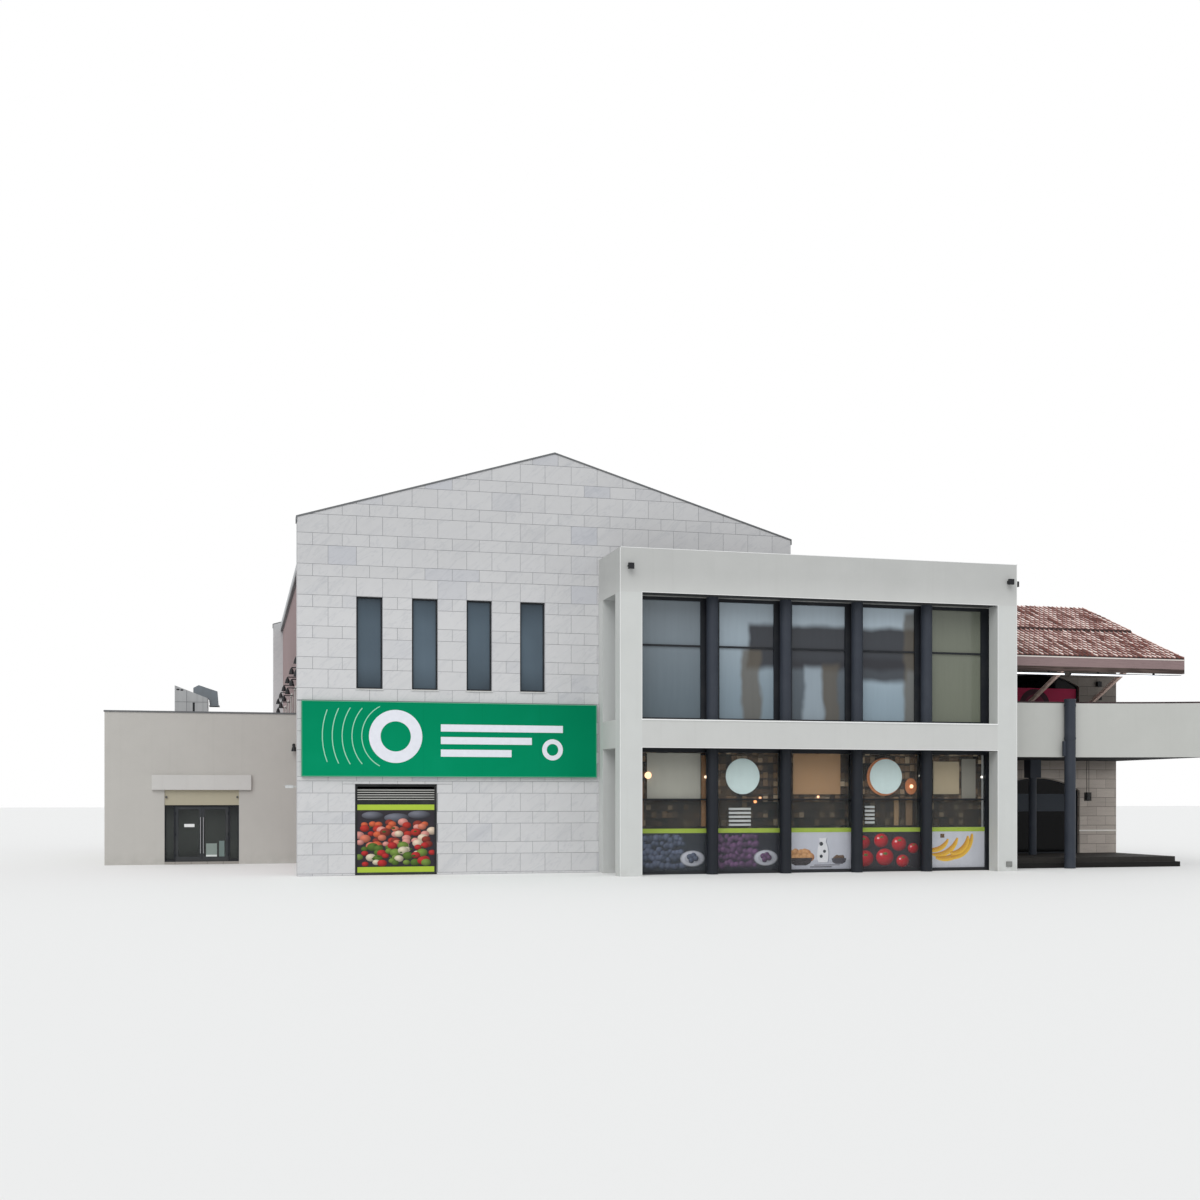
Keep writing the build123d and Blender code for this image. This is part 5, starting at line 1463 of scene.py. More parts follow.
@dataclass
class PanTiles:
    """Rolls of clay tiles in courses over one slope of the arcade roof."""

    name: str
    seed: int
    eave: float
    ridge: float = 5.15
    eave_level: float = 7.73
    slope: float = 2.68 / 6.6
    left: float = PORTAL_RIGHT
    right: float = ARCADE_RIGHT
    pitch: float = 0.205
    course: float = 0.36
    tier_run: float = 3.26
    tier_step: float = 0.07
    roll: float = 0.064

    def build(self, finish: bpy.types.Material) -> None:
        """Make the tiles over a grid of u across the rolls and v up the slope. Height above the
        roof is the roll, a raised cosine of u that leans to one side, plus a lift that falls from
        each course's lower edge to its upper edge, plus the step between the two tiers. A border
        all round comes down to the roof, where one face closes it. A tile's tone is half its
        own and half the next one's, so that pale tiles come in runs.

        Args:
            finish: Clay.
        """
        way = 1.0 if self.eave < self.ridge else -1.0
        run = abs(self.ridge - self.eave)
        rolls = round((self.right - self.left) / self.pitch)
        courses = round(run * math.hypot(1.0, self.slope) / self.course)
        u = np.linspace(0, rolls, rolls * 8 + 1)
        v = np.repeat(np.arange(courses), 4) + np.tile([0.0, 0.10, 0.60, 0.999], courses)
        rim = 0.01
        u = np.concatenate([u[:1] - rim, u, u[-1:] + rim])
        v = np.concatenate([v[:1] - rim, v, v[-1:] + rim])
        across, up = np.meshgrid(u, v, indexing="ij")
        angle = 2 * np.pi * across
        wave = 0.5 + 0.5 * np.cos(angle + 0.45 * np.sin(angle))
        rng = np.random.default_rng(self.seed)
        shake = rng.normal(0, 0.004, (rolls + 1, courses + 1))
        tile_u = np.clip(np.round(across).astype(int), 0, rolls)
        tile_v = np.clip(np.floor(up).astype(int), 0, courses - 1)
        within = up - tile_v
        along = (up + rim) / (courses + 2 * rim) * run
        step = np.where((way > 0) & (along > self.tier_run), self.tier_step, 0.0)
        height = 0.006 + self.roll * wave + 0.034 * (1 - within) + shake[tile_u, tile_v] + step
        # relief carries the painted light and shade of the clay: high on each roll's crest, low in the
        # gaps and towards each course's upper end under the next course
        relief = (0.12 + 0.88 * wave) * (1.0 - 0.38 * within ** 2)
        border = np.zeros(height.shape, dtype=bool)
        border[[0, -1], :] = True
        border[:, [0, -1]] = True
        height[border] = 0.0
        relief[border] = 0.0
        # painted shadow at the front of the tier step
        step_front = np.zeros(height.shape, dtype=bool)
        step_front[:, 1:-1] = np.diff(step, axis=1)[:, :-1] > 0
        relief[step_front] = 0.0
        points = np.zeros(across.shape + (3,))
        width = (self.right - self.left) / (rolls + 2 * rim)
        points[..., 0] = self.left + (across + rim) * width
        points[..., 1] = self.eave + way * along
        points[..., 2] = self.eave_level + self.slope * along + height
        shell = grid(points)
        number = np.arange(height.size).reshape(height.shape)
        foot = [number[0], number[1:, -1], number[-1, -2::-1], number[-2:0:-1, 0]]
        shell.faces.append(np.concatenate(foot)[None])
        if way < 0:
            shell.faces = [block[:, ::-1] for block in shell.faces]
        tones = rng.beta(1.6, 1.6, (rolls + 1, courses + 2))
        tones = np.clip(0.5 + 0.9 * (tones[:, :-1] + tones[:, 1:] - 1.0), 0, 1)
        middle_u = np.clip(np.round((across[:-1, :-1] + across[1:, 1:]) / 2).astype(int), 0, rolls)
        shell.tones = [tones[middle_u, tile_v[:-1, :-1]].ravel(), np.array([0.5])]
        shell.relief = relief.ravel()
        make(self.name, shell, finish)


@dataclass
class RidgeCaps:
    """Half-round tiles that overlap along the arcade's ridge."""

    left: float = PORTAL_RIGHT
    right: float = ARCADE_RIGHT
    y: float = 5.15
    level: float = 10.40
    radius: float = 0.135
    length: float = 0.36

    def build(self, finish: bpy.types.Material) -> None:
        """Make the caps over a grid of x along the ridge and an angle over it: radius is the cap's
        own plus a taper that falls along each cap, and the foot closes below.

        Args:
            finish: Clay.
        """
        count = round((self.right - self.left) / self.length)
        v = np.repeat(np.arange(count), 3) + np.tile([0.0, 0.5, 0.999], count)
        angle = np.radians(np.linspace(-20, 200, 13))
        place, turn = np.meshgrid(v, angle, indexing="ij")
        radius = self.radius * (1.0 - 0.14 * (place - np.floor(place)))
        points = np.stack(
            [
                self.left + place * (self.right - self.left) / count,
                self.y + radius * np.cos(turn),
                self.level + radius * np.sin(turn),
            ],
            axis=2,
        )
        shell = grid(points, False, True)
        rows, columns = points.shape[:2]
        ends = np.arange(columns)[None]
        shell.faces += [ends[:, ::-1], ends + (rows - 1) * columns]
        shell.faces = [block[:, ::-1] for block in shell.faces]
        tones = np.random.default_rng(33).beta(2.0, 2.0, count)
        cap = np.floor(place[:-1, 0] + 1e-6).astype(int)
        shell.tones = [np.repeat(tones[cap], columns), tones[:1], tones[-1:]]
        # relief gives each cap a painted highlight on top and painted shade low on its sides
        shell.relief = (0.62 + 0.3 * np.sin(turn) * (1 - (place - np.floor(place)))).ravel()
        make("ridge_caps", shell, finish)


@dataclass
class Arcade:
    """Tiled roof, timbers, stone arches, gallery and platform of the arcade."""

    left: float = PORTAL_RIGHT
    right: float = ARCADE_RIGHT
    wall_front: float = 2.80
    eave: float = -1.45
    arch_left: float = 26.94
    arch_right: float = 30.71
    rafter_pitch: float = 0.65
    slope: float = 2.68 / 6.6

    def arch_line(self, base: float, spring: float, rise: float = 0.5) -> np.ndarray:
        """Edge of an arch opening: up the left jamb, over a circular arc and down the right.

        Args:
            base: Height of the opening's foot.
            spring: Height at which the arc starts.
            rise: Height of the arc over the spring.

        Returns:
            Rows of (x, z).
        """
        half = (self.arch_right - self.arch_left) / 2
        radius = (half * half + rise * rise) / (2 * rise)
        reach = math.asin(half / radius)
        angle = np.linspace(-reach, reach, 33)
        middle = self.arch_left + half
        arc = np.stack(
            [middle + radius * np.sin(angle), spring + rise - radius + radius * np.cos(angle)],
            axis=1,
        )
        foot = np.array([[self.arch_left, base]])
        end = np.array([[self.arch_right, base]])
        return np.concatenate([foot, arc, end])

    def arris(self, line: np.ndarray, width: float = 0.035) -> Shell:
        """Pale band along an arch's edge: the edge and its offset by width along the outward
        normal, each at the face and 10 mm before it, closed at both feet."""
        step = np.gradient(line, axis=0)
        normal = np.stack([-step[:, 1], step[:, 0]], axis=1)
        normal /= np.linalg.norm(normal, axis=1, keepdims=True)
        outer = line + normal * width
        y0, y1 = self.wall_front - 0.010, self.wall_front + 0.002
        rows = [(line, y0), (outer, y0), (outer, y1), (line, y1)]
        points = np.stack(
            [np.insert(edge, 1, depth, axis=1) for edge, depth in rows], axis=1
        )
        shell = grid(points, False, True)
        last = 4 * (len(line) - 1)
        shell.faces.append(np.array([[3, 2, 1, 0], [last, last + 1, last + 2, last + 3]]))
        return shell

    def rafters(self) -> Shell:
        """Rafters under the front slope: prisms from the eave beam to the wall, whose top and foot
        follow the roof's underside."""
        x = np.arange(self.left + 0.3, self.right - 0.1, self.rafter_pitch)
        y = np.array([self.eave + 0.16, self.wall_front])
        under = 7.55 + self.slope * (y - self.eave)
        points = np.zeros((len(x), 8, 3))
        for corner in range(8):
            side, end, top = corner & 1, (corner >> 1) & 1, corner >> 2
            points[:, corner, 0] = x + (side - 0.5) * 0.09
            points[:, corner, 1] = y[end]
            points[:, corner, 2] = under[end] - (0.0 if top else 0.14)
        sides = np.array(
            [[0, 2, 3, 1], [4, 5, 7, 6], [0, 1, 5, 4], [1, 3, 7, 5], [3, 2, 6, 7], [2, 0, 4, 6]]
        )
        faces = (np.arange(len(x))[:, None, None] * 8 + sides[None]).reshape(-1, 4)
        return Shell(points.reshape(-1, 3), [faces])

    def arch_film(self) -> Shell:
        """Plain film inside the upper arch's panes: a plum band over a foot darkened by painted shade,
        with a dark disc, and a grey band inside the lower arch."""
        band = box(26.995, 30.655, 2.930, 2.936, 4.505, 6.93).painted(srgb(178, 36, 80))
        # painted shade: the film's foot is darker
        low = box(26.995, 30.655, 2.9285, 2.930, 4.505, 5.30).painted(srgb(98, 22, 46))
        disc = plates(disc_outline(28.8, 6.22, 0.68)[None], 2.9265, 2.930)
        inner = plates(disc_outline(28.8, 6.22, 0.46)[None], 2.9250, 2.9265)
        grey = box(26.995, 30.655, 2.930, 2.936, 2.04, 2.73).painted(srgb(62, 68, 76))
        return joined(
            [band, low, disc.painted(srgb(66, 30, 44)), inner.painted(srgb(112, 38, 62)), grey]
        )

    def glow_strips(self) -> Shell:
        """Lit tubes: lenses round the two battens under the eave beam."""
        spans = np.array([[24.72, 27.38, 7.064, 7.112], [27.66, 32.30, 7.064, 7.112]])
        return standing(spans, -1.406, -1.334).painted((0.90, 0.93, 0.98))

    def eave_lip(self) -> Shell:
        """Pale drip strip along the head of the fascia."""
        return box(self.left, self.right, self.eave - 0.012, self.eave, 7.685, 7.728)

    def build(self) -> None:
        """Dress the arcade."""
        clay = PanTile("clay_tiles").material()
        PanTiles("front_tiles", 21, self.eave).build(clay)
        PanTiles("rear_tiles", 22, 11.75).build(clay)
        RidgeCaps().build(clay)
        dark = {"colour": srgb(84, 70, 66), "dark": srgb(50, 41, 38), "pale": srgb(104, 90, 84)}
        shade("arcade_roof_front", Timber("roof_boards", front=self.eave + 0.004, **dark).material())
        shade("arcade_roof_rear", Timber("rear_roof_boards", **dark).material())
        shade("eave_beam", Timber("eave_timber", front=self.eave + 0.004, **dark).material())
        rail = Timber("rail_timber", srgb(66, 52, 54), srgb(40, 32, 33), srgb(80, 66, 67))
        shade("balcony_handrail", rail.material())
        strut = Timber("strut_timber", srgb(252, 226, 214), srgb(222, 190, 178), run=Along.Y)
        shade("eave_struts", strut.material())
        make("rafters", self.rafters(), Timber("rafter_timber", **dark).material())
        stone = CourseStone("arcade_stone").material()
        shade("arcade_ground_wall", stone)
        shade("arcade_upper_wall", stone)
        pale = WallRender("arris_stone", srgb(138, 131, 125), streaks=0.05).material()
        bands = [
            self.arris(self.arch_line(0.37, 2.85)),
            self.arris(self.arch_line(4.45, 7.01)),
        ]
        make("arch_arrises", joined(bands), pale)
        make("arch_film", self.arch_film(), Printed("film_print").material())
        make("glow_strips", self.glow_strips(), Printed("tube_lens", glow=0.85).material())
        lip = WallRender("lip_paint", srgb(214, 206, 200), foot=0.0).material()
        make("eave_lip", self.eave_lip(), lip)
        smoked = Pane("lantern_pane", srgb(34, 36, 38), srgb(18, 20, 22), 0.8).material()
        make("lantern_panes", box(30.73, 30.89, 2.27, 2.43, 2.47, 2.77), smoked)
        # painted shade on the balcony's soffit
        white = WallRender(
            "gallery_render", srgb(182, 183, 179), soffits=(4.05,), soffit_shade=srgb(30, 31, 33),
            streaks=0.05).material()
        for node in ("balcony_slab", "balcony_parapet", "party_wall", "rear_walls"):
            shade(node, white)
        shade("arcade_platform", Paving(
            "platform_stone", srgb(48, 46, 44), 0.6, srgb(24, 23, 22), 0.6).material())
        shade("wall_lamps", PaintedMetal("lamp_paint", srgb(34, 35, 38), dusty=0.08).material())
        shade("security_camera", PaintedMetal(
            "camera_paint", srgb(196, 198, 198), dusty=0.2).material())


@dataclass
class Wing:
    """Low entrance wing: render, lintel, name board, doors and rooftop plant."""

    def board_lamps(self) -> Shell:
        """Two small round lamps on the name board, each turned from a stem and a shallow bell."""
        profile = np.array(
            [[0.018, -0.002], [0.018, 0.02], [0.045, 0.026], [0.045, 0.05], [0.036, 0.054]]
        )
        return joined([lathe(profile, (x, 9.76, 2.60)) for x in (-4.52, -1.87)])

    def plant_details(self) -> Shell:
        """Seams, slots and a hatch on the plant enclosure's front sheet; the slots are dark with
        painted shade.
        """
        parts = [
            (-4.36, -3.07, 6.535, 6.547, srgb(96, 100, 104)),
            # two slots, dark with painted shade
            (-4.30, -4.18, 7.02, 7.08, srgb(40, 42, 46)),
            (-4.14, -4.03, 7.00, 7.06, srgb(40, 42, 46)),
            (-3.66, -3.57, 6.14, 6.52, srgb(44, 46, 48)),
            (-3.90, -3.885, 5.52, 7.02, srgb(110, 113, 116)),
        ]
        return joined(
            [box(a, b, 13.695, 13.702, c, d).painted(tint) for a, b, c, d, tint in parts]
        )

    def door_papers(self) -> tuple[Shell, Shell]:
        """Blank white label on the left leaf's glass, and pale blank papers on the right leaf's."""
        label = box(-3.862, -3.482, 9.818, 9.823, 1.44, 1.56).painted(srgb(228, 230, 230))
        papers = [
            box(-3.05, -2.64, 9.818, 9.823, 0.36, 0.80).painted(srgb(134, 146, 141)),
            box(-3.05, -2.64, 9.818, 9.823, 0.26, 0.36).painted(srgb(214, 220, 218)),
            box(-2.56, -2.36, 9.818, 9.823, 0.26, 0.90).painted(srgb(112, 127, 124)),
        ]
        return label, joined(papers)

    def build(self) -> None:
        """Dress the wing."""
        wall = WallRender("wing_render", srgb(184, 182, 177), srgb(148, 146, 140), 0.06).material()
        for node in ("wing_front_walls", "wing_wall_over_door", "wing_side_wall"):
            shade(node, wall)
        shade("lintel_panel", WallRender("lintel_render", srgb(196, 195, 192)).material())
        shade("name_board", WallRender(
            "cream_board", srgb(172, 166, 146), streaks=0.1, foot=0.0).material())
        leaf = PaintedMetal("door_paint", srgb(52, 55, 58), dusty=0.1).material()
        shade("door_leaf_left", leaf)
        shade("door_leaf_right", leaf)
        pulls = Brushed("pull_steel").material()
        shade("door_pulls_left", pulls)
        shade("door_pulls_right", pulls)
        shade("wing_floor", Paving("wing_floor_stone", srgb(150, 146, 140)).material())
        shade("plant_enclosure", SheetRoof(
            "plant_sheet", srgb(176, 178, 179), 0.65, Along.Z).material())
        shade("roof_duct", PaintedMetal(
            "duct_zinc", srgb(120, 127, 133), srgb(104, 104, 101), 0.35, 0.2, 0.5).material())
        lamp = PaintedMetal("board_lamp_paint", srgb(90, 90, 88), dusty=0.1).material()
        make("board_lamps", self.board_lamps(), lamp)
        paper = Printed("plain_paper").material()
        make("plant_details", self.plant_details(), paper)
        label, papers = self.door_papers()
        make("door_label", label, paper, Body.LEFT_DOOR)
        make("door_papers", papers, paper, Body.RIGHT_DOOR)


@dataclass
class Picture:
    """Printed board: a plain ground, flat shapes in thin layers before it and a band of lime."""

    x0: float
    x1: float
    z0: float
    z1: float
    y_face: float
    ground: Colour
    seed: int
    band: float = 0.15
    depth: float = 0.018
    layer: float = 0.0001
    shells: list[Shell] = field(default_factory=list)
    used: int = 1

    def step(self, count: int = 1) -> np.ndarray:
        """Depths of the next layers, each nearer than the last."""
        numbers = self.used + np.arange(count)
        self.used += count
        return self.y_face + self.depth * 0.4 - self.layer * numbers

    def board(self, band_first: bool = True) -> None:
        """Ground and lime band."""
        back = self.y_face + self.depth * 0.4
        board = box(self.x0, self.x1, back, self.y_face + self.depth, self.z0, self.z1)
        self.shells.append(board.painted(self.ground))
        edges = [(self.z1 - self.band, self.z1)]
        if not band_first:
            edges.append((self.z0, self.z0 + self.band))
        for low, high in edges:
            lime = box(self.x0, self.x1, self.y_face, back + 0.001, low, high)
            self.shells.append(lime.painted(srgb(166, 190, 62)))

    def strip(self, x0: float, x1: float, z0: float, z1: float, tint: Colour) -> None:
        """Flat rectangle."""
        y = float(self.step()[0])
        back = self.y_face + self.depth * 0.4 + 0.001
        self.shells.append(box(x0, x1, y, back, z0, z1).painted(tint))

    def shape(self, outline: np.ndarray, tint: Colour) -> None:
        """Flat shape with an outline of (x, z) points, anticlockwise."""
        y = float(self.step()[0])
        back = self.y_face + self.depth * 0.4 + 0.001
        self.shells.append(plates(outline[None], y, back).painted(tint))

    def rounds(
        self,
        centres: np.ndarray,
        radii: np.ndarray,
        light: np.ndarray,
        dark: np.ndarray,
        squash: float = 1.0,
    ) -> None:
        """Shaded rounds: each is a polar grid of radius and angle, its colour running from light
        near the upper left to dark at the far rim, closed by a rim and a back.

        Args:
            centres: Rows of (x, z).
            radii: One radius a round.
            light: Light colour, one row a round.
            dark: Dark colour, one row a round.
            squash: Height over width.
        """
        sides = 18
        angle = np.linspace(0, 2 * np.pi, sides, endpoint=False)
        reach = np.array([0.05, 0.4, 0.75, 1.0, 1.0])
        count = len(centres)
        across = reach[:, None] * np.cos(angle)[None]
        upward = reach[:, None] * np.sin(angle)[None]
        points = np.zeros((count, 5, sides, 3))
        points[..., 0] = centres[:, 0, None, None] + radii[:, None, None] * across[None]
        points[..., 2] = centres[:, 1, None, None] + radii[:, None, None] * squash * upward[None]
        points[..., 1] = self.step(count)[:, None, None]
        points[:, 4, :, 1] = self.y_face + self.depth * 0.4 + 0.001
        far = np.clip(np.hypot(across + 0.35, upward - 0.4) / 1.45, 0, 1)[None, ..., None]
        tints = light[:, None, None] * (1 - far) + dark[:, None, None] * far
        number = np.arange(count * 5 * sides).reshape(count, 5, sides)
        turned = np.roll(number, -1, axis=2)
        quads = np.stack(
            [number[:, :-1], number[:, 1:], turned[:, 1:], turned[:, :-1]], axis=3
        ).reshape(-1, 4)
        shell = Shell(points.reshape(-1, 3), [quads, number[:, 0], number[:, 4, ::-1]])
        shell.tints = [tints.reshape(-1, 3)]
        self.shells.append(shell)

    def crescents(
        self, rows: Sequence[tuple[float, float, float, float, float, float]]
    ) -> None:
        """Shaded crescents: each is a grid of t along an arc and s across it, whose half width is
        the width times the root of the cosine of t.

        Args:
            rows: Arc centre x and z, radius, width, middle angle and half span in degrees.
        """
        light, dark = np.array(srgb(246, 200, 60)), np.array(srgb(188, 122, 20))
        for x, z, radius, width, middle, span in rows:
            t = np.linspace(-1, 1, 17)
            turn = np.radians(middle + span * t)
            half = width * np.sqrt(np.cos(t * 1.45))
            s = np.array([-1.0, -0.3, 0.4, 1.0, 1.0, -1.0])
            reach = radius + half[:, None] * s[None]
            front = float(self.step()[0])
            back = self.y_face + self.depth * 0.4 + 0.001
            depth = np.array([front, front, front, front, back, back])
            points = np.stack(
                [
                    x + reach * np.cos(turn)[:, None],
                    np.broadcast_to(depth[None], reach.shape),
                    z + reach * np.sin(turn)[:, None],
                ],
                axis=2,
            )
            shell = grid(points, False, True)
            shell.faces = [block[:, ::-1] for block in shell.faces]
            last = 6 * 16
            ends = np.arange(6)[None]
            shell.faces += [ends, ends[:, ::-1] + last]
            mixed = np.broadcast_to(((s + 1) / 2)[None, :, None], reach.shape + (1,))
            shell.tints = [(dark * (1 - mixed) + light * mixed).reshape(-1, 3)]
            self.shells.append(shell)

    def scattered(self, columns: int, rows: int, area: tuple[float, float, float, float],
                  shake: float = 0.3) -> np.ndarray:
        """Places in offset rows over an area, each shaken a little, from the top row down.

        Args:
            columns: Places in a row.
            rows: Rows.
            area: x0, x1, z0, z1.
            shake: Share of the pitch that a place may move.

        Returns:
            Rows of (x, z).
        """
        rng = np.random.default_rng(self.seed)
        column, row = np.meshgrid(np.arange(columns), np.arange(rows))
        x = (column + 0.5 + 0.5 * (row % 2 - 0.5)) / columns
        z = 1 - (row + 0.5) / rows
        x = x + rng.uniform(-shake, shake, x.shape) / columns
        z = z + rng.uniform(-shake, shake, z.shape) / rows
        x0, x1, z0, z1 = area
        return np.stack([x0 + x * (x1 - x0), z0 + z * (z1 - z0)], axis=2).reshape(-1, 2)


def silhouette(x: float, z: float, halves: Sequence[float], heights: Sequence[float]) -> np.ndarray:
    """Outline of an upright turned shape seen from the front: x plus and minus each half width at
    each height over z, up the right side and down the left."""
    half, height = np.array(halves), np.array(heights)
    right = np.stack([x + half, z + height], axis=1)
    left = np.stack([x - half, z + height], axis=1)[::-1]
    return np.concatenate([right, left])


@dataclass
class Shopfront:
    """Sign panel, shop opening, printed panels and what shows behind the lower glazing."""

    bays: tuple[tuple[float, float], ...] = (
        (11.045, 13.485),
        (13.645, 16.115),
        (16.275, 18.745),
        (18.905, 21.375),
        (21.535, 23.885),
    )
    board_foot: float = 0.11
    board_head: float = 1.53
    board_face: float = -1.842
    view_face: float = -1.62
    hang: float = -1.72

    def sign_motif(self) -> Shell:
        """Plain white rings and bars, with thin pale arcs like ripples, a little proud of the
        sign."""
        face, back = -0.136, -0.128
        white, pale = srgb(222, 224, 232), srgb(150, 206, 180)
        rings = [
            ring(3.20, 4.60, 0.50, 0.88, face, back).painted(white),
            ring(8.52, 4.20, 0.20, 0.36, face, back).painted(white),
        ]
        bars = standing(
            np.array(
                [
                    [4.70, 8.88, 4.78, 5.02],
                    [4.70, 7.80, 4.36, 4.60],
                    [4.70, 7.10, 3.94, 4.18],
                ]
            ),
            face, back,
        ).painted(white)
        arcs = [
            ring(3.20, 4.60, radius, radius + 0.03, face + 0.002, back, 180 - half, 180 + half)
            .painted(pale)
            for radius, half in ((1.10, 62), (1.42, 40), (1.74, 32), (2.06, 26), (2.38, 21))
        ]
        return joined(rings + [bars] + arcs)

    def sign_edge(self) -> Shell:
        """Thin pale metal edge round the sign."""
        return standing(frame_strips(0.158, 10.052, 3.283, 5.727, 0.018), -0.138, -0.10)

    def louvre(self) -> Shell:
        """Pale lips of the blades over the shop opening."""
        foot = 2.47 + np.arange(1, 6) * 0.0783 - 0.055
        strips = np.stack(
            [np.full(5, 1.96), np.full(5, 4.51), foot, foot + 0.034], axis=1
        )
        return standing(strips, 0.080, 0.0895)

    def pictures(self) -> list[Picture]:
        """Grounds of the six printed boards."""
        grounds = [
            srgb(40, 42, 50), srgb(34, 32, 42), srgb(198, 200, 210), srgb(40, 32, 38),
            srgb(202, 204, 212),
        ]
        boards = []
        for number, ((x0, x1), ground) in enumerate(zip(self.bays, grounds)):
            board = Picture(
                x0, x1, self.board_foot, self.board_head, self.board_face, ground, 40 + number
            )
            board.board()
            boards.append(board)
        shop = Picture(1.96, 4.51, 0.09, 2.34, 0.0905, srgb(46, 42, 48), 50, band=0.18)
        shop.board(False)
        boards.append(shop)
        return boards

    def berries(self, board: Picture, light: Colour, dark: Colour) -> None:
        """Dark board of many small shaded rounds and a pale dish with a few more."""
        x0, x1 = board.x0, board.x1
        places = board.scattered(12, 5, (x0 + 0.1, x1 - 0.8, 0.2, 1.3))
        rng = np.random.default_rng(board.seed + 7)
        shades = rng.uniform(0.6, 1.3, (len(places), 1))
        radii = rng.uniform(0.085, 0.13, len(places))
        board.rounds(places, radii, np.array(light) * shades, np.array(dark) * shades)
        dish = np.array([[x1 - 0.52, 0.52]])
        for radius, shade_ in ((0.44, 0.55), (0.40, 1.0), (0.28, 0.8)):
            clay = np.array([srgb(206, 208, 218)]) * shade_
            board.rounds(dish, np.array([radius]), clay, clay * 0.6, 0.62)
        few = np.array([[x1 - 0.62, 0.58], [x1 - 0.48, 0.62], [x1 - 0.40, 0.52], [x1 - 0.56, 0.46]])
        board.rounds(few, np.full(4, 0.1), np.tile(light, (4, 1)), np.tile(dark, (4, 1)))

    def breakfast(self, board: Picture) -> None:
        """Pale board with a white jug, a bowl of ochre fruit, a brown heap and dark spoons."""
        x0 = board.x0
        board.strip(x0, board.x1, 0.11, 0.42, srgb(184, 186, 196))
        jug = silhouette(
            x0 + 1.42, 0.34, (0.17, 0.20, 0.21, 0.17, 0.11, 0.14), (0.0, 0.12, 0.34, 0.56, 0.70, 0.84)
        )
        board.shape(jug + np.array([0.03, -0.01]), srgb(142, 144, 156))
        board.shape(jug, srgb(228, 228, 232))
        dots = np.array([[x0 + 1.36, 0.98], [x0 + 1.48, 0.72], [x0 + 1.36, 0.55]])
        board.rounds(
            dots, np.array([0.07, 0.055, 0.06]),
            np.tile(srgb(70, 70, 80), (3, 1)), np.tile(srgb(24, 24, 32), (3, 1)),
        )
        heap = board.scattered(5, 2, (x0 + 0.22, x0 + 1.0, 0.44, 0.74))
        board.rounds(
            heap, np.linspace(0.12, 0.15, len(heap)),
            np.tile(srgb(226, 174, 118), (len(heap), 1)), np.tile(srgb(140, 82, 44), (len(heap), 1)),
        )
        bowl = silhouette(x0 + 0.60, 0.24, (0.20, 0.36, 0.44), (0.0, 0.08, 0.26))
        board.shape(bowl, srgb(52, 44, 48))
        small = silhouette(x0 + 2.02, 0.28, (0.12, 0.24, 0.28), (0.0, 0.06, 0.20))
        grain = board.scattered(4, 1, (x0 + 1.84, x0 + 2.2, 0.44, 0.54))
        board.rounds(
            grain, np.full(4, 0.08),
            np.tile(srgb(120, 92, 70), (4, 1)), np.tile(srgb(60, 40, 30), (4, 1)),
        )
        board.shape(small, srgb(74, 70, 78))
        board.strip(x0 + 0.95, x0 + 1.75, 0.17, 0.20, srgb(60, 52, 56))
        board.strip(x0 + 1.10, x0 + 2.05, 0.235, 0.258, srgb(80, 70, 72))

    def red_fruit(self, board: Picture) -> None:
        """Dark board of large red rounds with white lights and green stars."""
        x0 = board.x0
        centres = np.array(
            [[0.30, 1.02], [0.98, 1.08], [1.66, 0.96], [2.20, 0.80], [0.38, 0.46], [1.12, 0.50],
             [1.80, 0.36]]
        ) + np.array([x0, 0.0])
        radii = np.array([0.26, 0.27, 0.28, 0.2, 0.31, 0.33, 0.24])
        red, deep = np.array(srgb(222, 34, 46)), np.array(srgb(104, 8, 20))
        board.rounds(centres, radii, np.tile(red, (7, 1)), np.tile(deep, (7, 1)), 0.9)
        green = np.tile(srgb(92, 130, 58), (7, 1))
        board.rounds(centres + np.array([0.02, 0.12]), radii * 0.26, green, green * 0.4, 0.55)
        lights = np.tile(srgb(250, 214, 214), (7, 1))
        spots = centres + radii[:, None] * np.array([-0.42, 0.30])
        board.rounds(spots, radii * 0.16, lights, lights * 0.8, 0.8)

    def yellow_fruit(self, board: Picture) -> None:
        """Pale board of yellow crescents that fan out from one side."""
        x0 = board.x0
        board.crescents(
            [
                (x0 + 0.35, 1.35, 0.62, 0.09, -68, 46),
                (x0 + 0.50, 1.38, 0.82, 0.10, -60, 44),
                (x0 + 0.75, 1.42, 1.00, 0.11, -66, 42),
                (x0 + 1.00, 1.30, 0.86, 0.10, -44, 44),
                (x0 + 1.10, 1.22, 0.60, 0.10, -50, 50),
            ]
        )
        board.strip(x0 + 0.62, x0 + 0.78, 1.16, 1.30, srgb(96, 66, 24))

